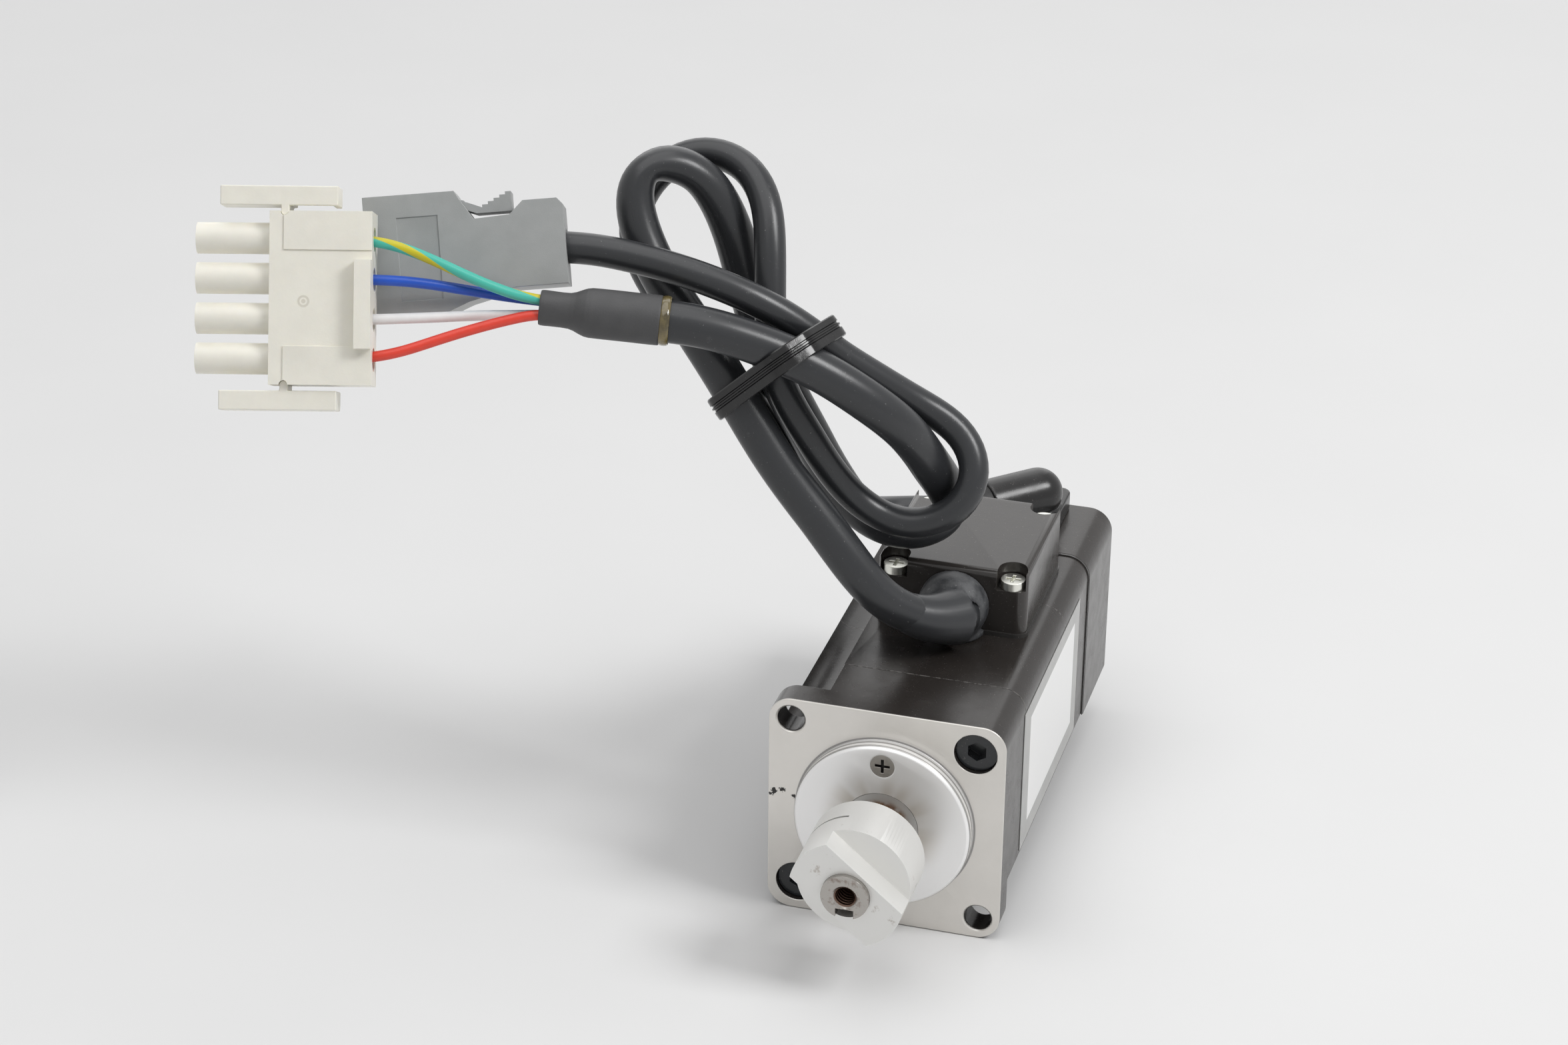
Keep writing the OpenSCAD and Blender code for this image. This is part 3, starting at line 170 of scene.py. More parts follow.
class Finish(Shader):
    """One material, made of a principled surface and the nodes that feed it."""

    def __init__(self, name, **constants):
        self.material = bpy.data.materials.new(name)
        self.material.use_nodes = True
        super().__init__(self.material.node_tree)
        self.tree.nodes.clear()
        self.surface = self.tree.nodes.new("ShaderNodeBsdfPrincipled")
        self.end = self.tree.nodes.new("ShaderNodeOutputMaterial")
        self.feed(self.end.inputs[0], Value(self, self.surface.outputs[0]))
        for key, value in constants.items():
            self.set(key.replace("_", " ").title().replace("Ior", "IOR"), value)

    def set(self, socket, value):
        """Gives one socket of the surface a constant, a colour or a Value."""
        self.feed(self.surface.inputs[socket], value)

    def fed(self, socket):
        """The Value that already feeds one socket of the surface."""
        return Value(self, self.surface.inputs[socket].links[0].from_socket)

    def place(self, stretch=(1, 1, 1), turn=(0, 0, 0)):
        """The point on the object in millimetres, turned and then stretched along each axis."""
        coords = self.add("ShaderNodeTexCoord", {}, {}, "Object")
        inputs = {0: coords, "Rotation": turn, "Scale": [1000 * s for s in stretch]}
        return self.add("ShaderNodeMapping", {"vector_type": "POINT"}, inputs)

    def axes(self):
        """The point's x, y and z in millimetres."""
        return self.parted(self.place())

    def uv(self):
        """The piece's own map: turns round it, and millimetres along it."""
        return self.parted(self.add("ShaderNodeTexCoord", {}, {}, "UV"))[:2]

    def noise(self, scale, detail=2.0, rough=0.5, where=None):
        """Soft noise from 0 to 1 with that many lumps in a millimetre."""
        inputs = {"Vector": where or self.place(), "Scale": scale, "Detail": detail,
                  "Roughness": rough}
        return self.add("ShaderNodeTexNoise", {}, inputs)

    def mix(self, share, first, second):
        """Colour going from the first to the second as the share goes from 0 to 1."""
        return self.add("ShaderNodeMix", {"data_type": "RGBA"}, {0: share, 6: first, 7: second}, 2)

    def relief(self, height, depth):
        """Bumps of that depth in millimetres, from a height between 0 and 1."""
        inputs = {"Strength": 1.0, "Distance": depth * MM, "Height": height}
        self.set("Normal", self.add("ShaderNodeBump", {}, inputs))


# Finishes
def coated(name, colour, gloss=0.3, dust=0.25, peel=0.012, dusty=(0.2, 0.19, 0.18), seams=()):
    """Paint or dark plastic: an even skin, faint peel, and grains of pale dust here and there.
    Pale specks line the seams, which are places along the shaft's axis."""
    skin = Finish(name)
    grains = skin.noise(2.6, 1.0).between(0.70, 0.76) * dust
    film = skin.noise(0.16, 5.0, 0.6).between(0.45, 0.8) * (0.12 * dust)
    dirt = grains + film
    for seam in seams:
        near = (skin.axes()[1] - seam).maths("ABSOLUTE").between(0.2, 0.08)
        dirt = dirt + near * skin.noise(1.4, 4.0).between(0.4, 0.6) * 0.7
    skin.set("Base Color", skin.mix(dirt, colour, dusty))
    skin.set("Roughness", skin.noise(0.35, 4.0) * 0.16 + (gloss - 0.08) + film)
    skin.relief(skin.noise(1.3, 3.0), peel)
    return skin


def metal(name, colour, gloss=0.3, turned=False, stain=0.0, stained=(0.3, 0.2, 0.12),
          stretch=(0.25, 6, 6)):
    """Machined metal: grain drawn out along one axis or round the shaft, and a faint stain."""
    skin = Finish(name, metallic=1.0)
    if turned:
        x, y, z = skin.axes()
        grain = skin.noise(5.0, 2.0, 0.6, skin.joined(apart(x, z), y))
    else:
        grain = skin.noise(1.0, 3.0, 0.6, skin.place(stretch))
    mark = skin.noise(0.4, 4.0, 0.6).between(0.52, 0.75) * stain
    skin.set("Base Color", skin.mix(mark, colour, stained))
    skin.set("Roughness", grain * 0.16 + (gloss - 0.08) + mark * 0.2)
    skin.relief(grain, 0.006)
    return skin


def moulded(name, colour, gloss=0.4, mottle=0.08, grain=0.01, scale=3.0, **constants):
    """Moulded plastic: a slightly cloudy colour over a fine grain."""
    skin = Finish(name, **constants)
    cloud = skin.noise(0.25, 4.0, 0.6)
    darker = [c * (1 - mottle) for c in colour]
    lighter = [min(1, c * (1 + mottle)) for c in colour]
    skin.set("Base Color", skin.mix(cloud.between(0.3, 0.7), darker, lighter))
    skin.set("Roughness", cloud * 0.1 + (gloss - 0.05))
    skin.relief(skin.noise(scale, 2.0), grain)
    return skin


PAINT = (0.027, 0.0232, 0.021)
PAINT_EDGE = (0.05, 0.045, 0.042)
# The dark chips on the flange's face: x, z and size of each
CHIPS = [(-19.0, 2.2, 0.5), (-17.6, 2.6, 0.45), (-19.4, 1.5, 0.35), (-15.6, 1.6, 0.35)]


def bracket_finish():
    """Dark paint behind the flange's face, fine straight grain on the face, rings on the pilot,
    painted shade round the pilot's foot and rim, and a painted reflection from the shaft.
    """
    skin = coated("bracket_paint_and_face", PAINT, 0.25, seams=(BRACKET_END,))
    x, y, z = skin.axes()
    radius = apart(x, z)
    bare = y.between(0.35, 0.1)
    for side in (-1, 1):
        hole = apart(x + side * HOLE_XZ, z - side * HOLE_XZ)
        bare = bare * (1 - hole.between(HOLE_R + 0.05, HOLE_R - 0.05) * y.between(0.3, 0.6))
        well = apart(x - side * WELL_XZ, z - side * WELL_XZ)
        bare = bare * (1 - well.between(WELL_R + 0.15, WELL_R + 0.02) * y.between(0.02, 0.2))
    brushed = skin.noise(1.0, 4.0, 0.65, skin.place((0.5, 1, 9), (0, math.radians(14), 0)))
    rings = skin.noise(6.0, 2.0, 0.6, skin.joined(radius))
    on_pilot = radius.between(PILOT_R + 0.45, PILOT_R + 0.3)
    grain = brushed * (1 - on_pilot) + rings * on_pilot

    # Painted shade: a dark ring at the pilot's foot, where it meets the face, and dark bands round
    # its rim that stand in for the shade between its turned steps.
    foot = radius.between(PILOT_R - 0.1, PILOT_R + 0.05) * on_pilot * y.between(-0.15, 0.0)
    rim = radius.between(PILOT_R - 0.6, PILOT_R - 0.3) * y.between(0.0, -0.1)
    rim_shade_pitch = 1.1
    turned = (y * (2 * math.pi / rim_shade_pitch)).maths("SINE").between(0.1, 0.6) * rim
    countersinks = 0
    for side in (-1, 1):
        out = apart(x, z - side * RETAINER_Z)
        countersinks = out.between(2.02, 2.14) * out.between(2.5, 2.36) + countersinks
    chips = 0
    for chip_x, chip_z, size in CHIPS:
        far = apart(x - chip_x, z - chip_z) + skin.noise(2.5, 3.0) * 1.3
        chips = far.between(size + 0.72, size + 0.6).maths("MAXIMUM", chips)

    face = skin.mix(skin.noise(0.12, 4.0, 0.6), (0.65, 0.63, 0.595), (0.76, 0.735, 0.70))
    silver = skin.mix(on_pilot, face, (0.94, 0.935, 0.93))
    # Painted reflection: brownish streaks radiating from the shaft over the pilot's face, standing
    # in for the shaft's and hub's reflection in the turned metal.
    way = skin.joined(x / radius * 1.3, z / radius * 1.3)
    painted_reflection_streak = skin.noise(1.0, 2.0, 0.5, way).between(0.42, 0.62) * radius.between(11.5, 6.3)
    silver = skin.mix(painted_reflection_streak * 0.45, silver, (0.46, 0.38, 0.27))
    # Painted shade: the dark rim bands and the dark ring at the pilot's foot.
    silver = skin.mix(turned * 0.7, silver, (0.2, 0.19, 0.18))
    silver = skin.mix(foot * 0.75, silver, (0.12, 0.11, 0.10))
    silver = skin.mix(countersinks, silver, (0.93, 0.93, 0.92))
    silver = skin.mix(chips * (1 - on_pilot), silver, (0.015, 0.013, 0.012))
    metal_gloss = grain * 0.14 + 0.27 + on_pilot * 0.06
    painted_gloss = skin.fed("Roughness")
    skin.set("Base Color", skin.mix(bare, skin.fed("Base Color"), silver))
    skin.set("Metallic", bare * (1 - chips) * (1 - on_pilot * 0.35))
    skin.set("Roughness", painted_gloss * (1 - bare) + metal_gloss * bare)
    skin.relief(grain * bare + skin.noise(1.3, 3.0) * (1 - bare), 0.008)
    return skin


def hub_finish(name, colour, gloss, dirt):
    """Matt anodised metal: a fine blasted grain with a few brown smudges."""
    skin = Finish(name, metallic=0.55)
    smudge = skin.noise(0.35, 5.0, 0.65).between(0.66, 0.76) * dirt
    skin.set("Base Color", skin.mix(smudge, colour, (0.3, 0.24, 0.18)))
    skin.set("Roughness", skin.noise(1.0, 4.0) * 0.12 + (gloss - 0.06))
    skin.relief(skin.noise(7.0, 2.0), 0.008)
    return skin


def shaft_finish():
    """Ground steel, rusted brown by the seal and blotched at its end, with the tapped hole painted
    dark brown as shade and its thread showing as ridges.
    """
    skin = Finish("shaft_steel", metallic=1.0)
    x, y, z = skin.axes()
    # Painted shade: the tapped hole is painted dark brown, as the shade inside it; the brown by the
    # seal and at the end is rust.
    in_hole = apart(x, z).between(TAP_R + 0.3, TAP_R + 0.1)
    by_seal = y.between(-6.5, -2.0) * skin.noise(0.7, 4.0, 0.6).between(0.35, 0.65)
    blotch = skin.noise(0.9, 5.0, 0.65).between(0.52, 0.70) * 0.5
    at_end = y.between(SHAFT_END + 1.5, SHAFT_END + 0.5)
    rust_and_hole_shade = (in_hole * 0.85 + by_seal * 0.8 + blotch * at_end).maths("MINIMUM", 0.92)
    skin.set("Base Color", skin.mix(rust_and_hole_shade, (0.42, 0.40, 0.375), (0.12, 0.055, 0.03)))
    skin.set("Roughness", rust_and_hole_shade * 0.25 + skin.noise(2.0, 3.0) * 0.1 + 0.2)
    thread = (y * (2 * math.pi / THREAD_PITCH)).maths("SINE") * 0.5 + 0.5
    skin.relief(thread * in_hole + skin.noise(1.0, 2.0, 0.5, skin.place((8, 0.3, 8))) * 0.05, 0.16)
    return skin


def seal_finish():
    """The seal's metal front, turned like the pilot round it, and browned towards the shaft."""
    skin = Finish("seal_metal_front", metallic=1.0)
    x, y, z = skin.axes()
    radius = apart(x, z)
    rings = skin.noise(6.0, 2.0, 0.6, skin.joined(radius))
    brown = radius.between(5.6, 4.1) * skin.noise(0.5, 4.0, 0.6).between(0.3, 0.6)
    skin.set("Base Color", skin.mix(brown, (0.74, 0.735, 0.73), (0.30, 0.16, 0.07)))
    skin.set("Roughness", rings * 0.12 + 0.3)
    skin.relief(rings, 0.008)
    return skin


def recessed_finish(name, colour, dark, depth, gloss, stain):
    """A screw head's steel, with the bottom of its recess in shade: the depth is the one along
    the shaft's axis from which on the surface lies in the recess."""
    skin = Finish(name)
    deep = skin.axes()[1].between(depth - 0.12, depth + 0.05)
    mark = skin.noise(0.8, 4.0, 0.6).between(0.5, 0.75) * stain
    skin.set("Base Color", skin.mix(deep, skin.mix(mark, colour, (0.2, 0.17, 0.13)), dark))
    skin.set("Metallic", (1 - deep) * 0.9 + 0.1)
    skin.set("Roughness", skin.noise(1.2, 3.0) * 0.14 + gloss + deep * 0.2)
    skin.relief(skin.noise(2.0, 3.0), 0.02)
    return skin


# The white field of the label: from and to along the shaft's axis, and from and to upwards
FIELD_Y = (17.9, 52.1)
FIELD_Z = (-7, 13)
FIELD_SOFT = 0.1


def label_finish():
    """A blank printed film: a white field inside a satin silver border."""
    skin = Finish("label_film", coat_weight=0.4, coat_roughness=0.2)
    x, y, z = skin.axes()
    field = y.inside(*FIELD_Y, FIELD_SOFT) * z.inside(*FIELD_Z, FIELD_SOFT)
    silver = skin.mix(skin.noise(0.2, 4.0), (0.38, 0.38, 0.37), (0.50, 0.50, 0.49))
    skin.set("Base Color", skin.mix(field, silver, (0.90, 0.90, 0.895)))
    skin.set("Metallic", (1 - field) * 0.5)
    skin.set("Roughness", 0.42 - field * 0.08 + skin.noise(0.6, 3.0) * 0.06)
    skin.relief(skin.noise(0.25, 3.0), 0.02)
    return skin


def cable_finish(name, colour, gloss):
    """Cable jacket: soft sheen, faint lines drawn along it, and grains of dust."""
    skin = Finish(name)
    turn, far = skin.uv()
    flow = skin.noise(1.0, 3.0, 0.6, skin.joined(turn * 14, far * 0.06))
    dust = skin.noise(2.2, 1.5).between(0.71, 0.77) * 0.4
    scuff = skin.noise(0.5, 4.0, 0.7).between(0.6, 0.8) * 0.12
    skin.set("Base Color", skin.mix(dust + scuff, colour, (0.24, 0.24, 0.24)))
    skin.set("Roughness", flow * 0.14 + (gloss - 0.07) + scuff)
    skin.relief(flow + skin.noise(2.0, 3.0) * 0.35, 0.02)
    return skin


def ivory_finish(name):
    """The power plug's ivory plastic, which lets a little light in."""
    return moulded(name, (0.90, 0.875, 0.785), gloss=0.36, mottle=0.02, grain=0.012, scale=2.5,
                   subsurface_weight=0.12, subsurface_radius=(0.002, 0.0016, 0.001))


def gated_finish(name, gate):
    """The plug's ivory with the moulding's gate: a small ring round a pip, at a place on it."""
    skin = ivory_finish(name)
    inputs = {0: skin.place(), 1: gate}
    far = skin.add("ShaderNodeVectorMath", {"operation": "DISTANCE"}, inputs, "Value")
    rim = far.between(0.5, 0.7) * far.between(1.05, 0.85)
    pip = far.between(0.4, 0.3)
    skin.set("Base Color", skin.mix((rim + pip) * 0.45, skin.fed("Base Color"), (0.52, 0.48, 0.38)))
    return skin


def striped_finish():
    """Turquoise insulation with one yellow stripe that winds slowly round it."""
    skin = Finish("wire_green_and_yellow", roughness=0.34)
    turn, far = skin.uv()
    turns_in_a_mm = 0.038
    start = 0.56
    phase = (turn - far * turns_in_a_mm + start).maths("FRACT")
    stripe = phase.between(0.0, 0.03) * phase.between(0.28, 0.25)
    skin.set("Base Color", skin.mix(stripe, (0.075, 0.53, 0.42), (0.62, 0.55, 0.02)))
    skin.relief(skin.noise(1.2, 3.0), 0.02)
    return skin


def rubber_finish():
    """Dusty moulded rubber with a cloudy bloom."""
    skin = Finish("grommet_rubber")
    bloom = skin.noise(0.35, 5.0, 0.65).between(0.35, 0.75)
    grains = skin.noise(2.4, 1.0).between(0.69, 0.75) * 0.4
    x, y, z = skin.axes()
    on_blob = (y + skin.noise(0.6, 3.0) * 1.6).between(25.6, 27.0)
    bloom = bloom * (z.between(25, 29) * 0.55 + 0.45) * on_blob
    colour = skin.mix(bloom, (0.034, 0.0355, 0.039), (0.115, 0.118, 0.122))
    skin.set("Base Color", skin.mix(grains * on_blob, colour, (0.3, 0.3, 0.3)))
    skin.set("Roughness", bloom * 0.3 + on_blob * 0.08 + 0.31)
    skin.relief(skin.noise(0.9, 4.0, 0.6) * (on_blob * 0.85 + 0.15), 0.07)
    return skin


def boot_finish():
    """Heat-shrunk sleeve: fine crepe over a charcoal skin."""
    skin = Finish("boot_sleeve")
    cloud = skin.noise(0.5, 4.0)
    skin.set("Base Color", skin.mix(cloud, (0.052, 0.052, 0.054), (0.076, 0.076, 0.078)))
    skin.set("Roughness", skin.noise(1.0, 3.0) * 0.15 + 0.46)
    skin.relief(skin.noise(3.2, 3.0, 0.6), 0.035)
    return skin


SEAMS = (BRACKET_END, STATOR_END)
paint = coated("motor_paint", PAINT, gloss=0.25, seams=SEAMS)
edge_paint = coated("motor_paint_edge", PAINT_EDGE, gloss=0.28, dust=0.6, seams=SEAMS)
cap_paint = coated("cap_paint", (0.036, 0.032, 0.0295), gloss=0.19, dust=0.3, peel=0.008)
cap_edge = coated("cap_paint_edge", PAINT_EDGE, gloss=0.14, dust=0.5)
bracket_skin = bracket_finish()
hub_skin = hub_finish("hub_anodised", (0.80, 0.795, 0.775), gloss=0.46, dirt=0.6)
hub_edge = hub_finish("hub_edge_worn", (0.92, 0.92, 0.91), gloss=0.3, dirt=0.25)
shaft_skin = shaft_finish()
zinc = metal("screw_zinc", (0.80, 0.80, 0.74), gloss=0.32, stain=0.08, stained=(0.4, 0.42, 0.34),
             stretch=(1, 1, 1))
steel_screw = recessed_finish("screw_steel", (0.42, 0.40, 0.37), dark=(0.02, 0.018, 0.016),
                              depth=-2.35, gloss=0.26, stain=0.3)
black_screw = coated("screw_black", (0.024, 0.026, 0.029), gloss=0.2, dust=0.3, peel=0.006)
rubber = rubber_finish()
seal_rubber = coated("seal_rubber", (0.012, 0.012, 0.012), gloss=0.5)
seal_front = seal_finish()
sealant = coated("sealant_bead", (0.05, 0.048, 0.046), gloss=0.16, dust=0.9, peel=0.05)
outlet_skin = coated("outlet_gloss", (0.012, 0.0115, 0.0115), gloss=0.25, dust=0.35, peel=0.006)
label_skin = label_finish()
jacket = cable_finish("cable_jacket", (0.029, 0.0305, 0.0335), gloss=0.30)
tie_skin = coated("tie_nylon", (0.006, 0.006, 0.0065), gloss=0.12, dust=0.2, peel=0.01)
boot_skin = boot_finish()
amber = moulded("glue_amber", (0.13, 0.10, 0.035), gloss=0.16, mottle=0.65, grain=0.05, scale=1.2,
                coat_weight=0.6)
green_wire = striped_finish()
blue_wire = moulded("wire_blue", (0.012, 0.085, 0.52), gloss=0.34, mottle=0.06, grain=0.02)
white_wire = moulded("wire_white", (0.80, 0.79, 0.79), gloss=0.34, mottle=0.03, grain=0.02)
red_wire = moulded("wire_red", (0.78, 0.06, 0.035), gloss=0.34, mottle=0.05, grain=0.02)
ivory = ivory_finish("plug_ivory")
ivory_body = gated_finish("plug_ivory_body", gate=(-93.1, -13.05, 86.15))
grey = moulded("plug_grey", (0.365, 0.375, 0.372), gloss=0.42, mottle=0.04, grain=0.016, scale=6.0)
nose_dark = moulded("plug_nose_dark", (0.035, 0.036, 0.038))
gold = metal("contact_gold", (0.75, 0.56, 0.25), gloss=0.25, stain=0.1)
bearing_steel = metal("bearing_steel", (0.62, 0.62, 0.63), gloss=0.16, turned=True)
rotor_steel = metal("rotor_steel", (0.33, 0.31, 0.29), gloss=0.4, turned=True, stain=0.2)
magnet = metal("magnet_nickel", (0.5, 0.5, 0.5), gloss=0.3, turned=True, stain=0.1)
copper = metal("coil_copper", (0.72, 0.28, 0.12), gloss=0.3, stain=0.2, stained=(0.3, 0.1, 0.05),
               stretch=(6, 0.3, 6))
board = moulded("board_green", (0.012, 0.11, 0.045), gloss=0.35, mottle=0.2)
chip = moulded("sensor_black", (0.02, 0.02, 0.022))
nylon = moulded("bobbin_nylon", (0.70, 0.67, 0.58), gloss=0.45)
phenolic = moulded("block_dark", (0.05, 0.052, 0.05), gloss=0.5)
lead_red = moulded("lead_red", (0.5, 0.05, 0.03))
disc_skin = moulded("disc_clear", (0.55, 0.6, 0.62), gloss=0.1)


# Making meshes
def piece(name, points, faces, finish, body, spans=None):
    """A mesh from points in millimetres, with its place in its vertices, riding on a body."""
    mesh = bpy.data.meshes.new(name)
    mesh.from_pydata((np.asarray(points, float) * MM).tolist(), [], faces)
    if spans is not None:
        layer = mesh.uv_layers.new(name="UVMap")
        layer.data.foreach_set("uv", np.asarray(spans, float).ravel())
    mesh.materials.append(finish.material)
    mesh.shade_smooth()
    obj = bpy.data.objects.new(name, mesh)
    bpy.context.scene.collection.objects.link(obj)
    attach(obj, body)
    return obj


def closed_faces(rows, columns):
    """Corner numbers of the quads of a grid that closes both round its rows and its columns."""
    r, c = np.meshgrid(np.arange(rows), np.arange(columns), indexing="ij")
    near, far = r * columns, (r + 1) % rows * columns
    n = (c + 1) % columns
    return np.stack([near + c, near + n, far + n, far + c], -1).reshape(-1, 4)


def sheet_faces(rows, columns):
    """The same for a grid that closes round its columns only."""
    return closed_faces(rows, columns)[:(rows - 1) * columns]


def end_faces(rows, columns):
    """The two faces that close such a grid's first and last rings."""
    last = (rows - 1) * columns
    return [list(range(columns))[::-1], list(range(last, last + columns))]


def smooth_line(route, steps):
    """Points along a route's uniform cubic B-spline, which starts and ends at the route's ends."""
    p = np.array(route, float)
    p = np.vstack([2 * p[0] - p[1], p, 2 * p[-1] - p[-2]])
    spans = len(route) - 1
    t = np.linspace(0, spans, spans * steps + 1)
    i = np.minimum(t.astype(int), spans - 1)
    f = (t - i)[:, None]
    weights = [(1 - f) ** 3, 3 * f ** 3 - 6 * f ** 2 + 4, 1 + 3 * f + 3 * f ** 2 - 3 * f ** 3,
               f ** 3]
    return sum(w * p[i + k] for k, w in enumerate(weights)) / 6


def side_frames(line):
    """Two directions across a line at each of its points, carried along it without twisting."""
    ahead = np.gradient(line, axis=0)
    ahead /= np.linalg.norm(ahead, axis=1)[:, None]
    side = np.cross(ahead[0], (0, 0, 1))
    sides = []
    for direction in ahead:
        side = side - np.dot(side, direction) * direction
        side = side / np.linalg.norm(side)
        sides.append(side)
    sides = np.array(sides)
    return sides, np.cross(ahead, sides)


BULGE = 0.35


def flattened(line, spokes, give):
    """The spokes of each ring, shorter towards the bend's middle and a little longer across it.
    The loss is the give times the spoke's length over the bend's radius, at most the give."""
    ahead = np.gradient(line, axis=0)
    pace = np.linalg.norm(ahead, axis=1)[:, None]
    bend = np.gradient(ahead / pace, axis=0) / pace
    bent = np.linalg.norm(bend, axis=1)[:, None]
    inward = (bend / np.maximum(bent, 1e-6))[:, None]
    loss = give * np.minimum(1, bent * np.linalg.norm(spokes[:, 0], axis=1)[:, None])[:, None]
    part = (spokes * inward).sum(-1, keepdims=True) * inward
    return spokes - loss * part + BULGE * loss * (spokes - part)


def tube(name, line, radius, finish, body, columns=28, give=0.0):
    """A round tube along a line: rings across it, the end rings closed, with turns and
    millimetres as its map. The radius is a number or an array of one per ring by one per side."""
    side, other = side_frames(line)
    angle = 2 * np.pi * np.arange(columns) / columns
    radius = np.broadcast_to(radius, (len(line), columns))[..., None]
    spokes = radius * (np.cos(angle)[None, :, None] * side[:, None]
                       + np.sin(angle)[None, :, None] * other[:, None])
    rings = line[:, None] + flattened(line, spokes, give)
    far = np.concatenate([[0], np.cumsum(np.linalg.norm(np.diff(line, axis=0), axis=1))])
    quads = sheet_faces(len(line), columns)
    row, column = np.divmod(quads, columns)
    turn = column / columns
    turn[:, 1:3] += (column[:, 1:3] == 0)
    spans = np.stack([turn, far[row]], -1).reshape(-1, 2)
    flat = np.array([[0.5, far[0]]] * columns + [[0.5, far[-1]]] * columns)
    faces = quads.tolist() + end_faces(len(line), columns)
    return piece(name, rings.reshape(-1, 3), faces, finish, body, np.vstack([spans, flat]))


HANG_TURN = 16
HANG_TILT = -27


def turned_by(degrees, axis):
    """The matrix of a turn about an axis."""
    return Matrix.Rotation(math.radians(degrees), 3, axis)


def hanging(at, lean=0.0):
    """Origin and axes of a piece that hangs on the leads: turned and tilted, then leaned."""
    turn = turned_by(HANG_TURN, "Z") @ turned_by(HANG_TILT, "X") @ turned_by(lean, "Y")
    return np.array(at, float), np.array(turn).T


def placed(points, origin, axes):
    """Points of a hanging piece's own frame, in the row frame."""
    return origin + np.asarray(points, float) @ axes


MERGE = 0.002 * MM
SHARP = math.radians(32)
FLAT = math.radians(0.4)
ROUNDING_STEPS = 3


def softened(node, name, width, finish, edge=None, body="housing"):
    """A merged copy of a CAD solid whose sharp edges are rounded to a width in millimetres."""
    mesh = nodes[node].data.copy()
    mesh.name = name
    shape = bmesh.new()
    shape.from_mesh(mesh)
    bmesh.ops.remove_doubles(shape, verts=shape.verts, dist=MERGE)
    bmesh.ops.dissolve_limit(shape, angle_limit=FLAT, verts=shape.verts, edges=shape.edges)
    shape.to_mesh(mesh)
    shape.free()
    mesh.materials.clear()
    mesh.materials.append(finish.material)
    mesh.materials.append((edge or finish).material)
    mesh.shade_smooth()
    mesh.set_sharp_from_angle(angle=SHARP)
    obj = bpy.data.objects.new(name, mesh)
    bpy.context.scene.collection.objects.link(obj)
    rounding = obj.modifiers.new("rounding", "BEVEL")
    rounding.width = width * MM
    rounding.segments = ROUNDING_STEPS
    rounding.limit_method = "ANGLE"
    rounding.angle_limit = SHARP
    rounding.use_clamp_overlap = True
    rounding.harden_normals = True
    rounding.material = 1
    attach(obj, body)
    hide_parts(node)


# Leads: the routes are the part's, in millimetres, the wires' in the power plug's own frame, and
# the lengths of the wires are in metres
POWER_ROUTE = [
    (6, 28, 25), (1.5, 20.5, 26.5), (-5.5, 16, 31.5), (-11, 15, 39), (-17, 15.5, 46.5),
    (-23, 15.5, 53.5), (-28.5, 16.5, 61.5), (-34, 18, 69), (-40, 20, 76), (-46.5, 22.5, 83),
    (-52, 25.5, 93), (-50.5, 29.5, 99.5), (-42, 33.5, 97.5), (-37, 34.5, 87.5), (-34, 33, 78),
    (-30.5, 30, 70.5), (-26, 27, 63), (-21.5, 27.5, 55), (-17.5, 29, 46), (-11, 29.5, 38),
    (-1.5, 32.5, 36.5), (2.5, 35.5, 41.5), (-1, 30, 50.5), (-3.5, 23, 60), (-9.5, 19.5, 66),
    (-16.5, 17, 71.5), (-24.5, 14.5, 75.5), (-33, 11.2, 79.2), (-39, 9.4, 80.3), (-45, 8, 80.9)]
SIGNAL_ROUTE = [
    (1.5, 67.5, 26.1), (-2.5, 63.5, 26.1), (-7.5, 62.5, 25.8), (-12.5, 62.5, 25),
    (-17.5, 59.5, 25.5), (-19, 54, 28), (-18.5, 47, 31), (-19, 41, 35.5), (-21, 36, 41),
    (-24, 32, 47), (-28, 29, 53), (-31.5, 27, 59.5), (-35.5, 25.5, 65), (-40, 25.5, 69.5),
    (-45.5, 26.5, 74.5), (-51.5, 29, 81), (-54, 32, 87.5), (-51.5, 37, 94), (-45, 40.5, 98),
    (-36.5, 39.5, 97), (-31, 34.5, 93), (-29, 29.5, 86.5), (-28, 26, 79), (-27, 23, 72),
    (-24.5, 20.5, 65.5), (-20, 20.5, 58.5), (-16.5, 22, 51.5), (-12, 24, 45), (-4.5, 25, 41),
    (4.5, 26, 44), (7.5, 29.5, 51), (3, 33, 57), (-4.5, 31, 61.5), (-10.5, 27, 67),
    (-16, 24, 71.5), (-21.5, 21.5, 77), (-28, 19, 81.5), (-35, 17.5, 84.5), (-42.5, 17, 86.5),
    (-50, 16, 88), (-55.5, 15.5, 88.5), (-61, 14.5, 88.5)]
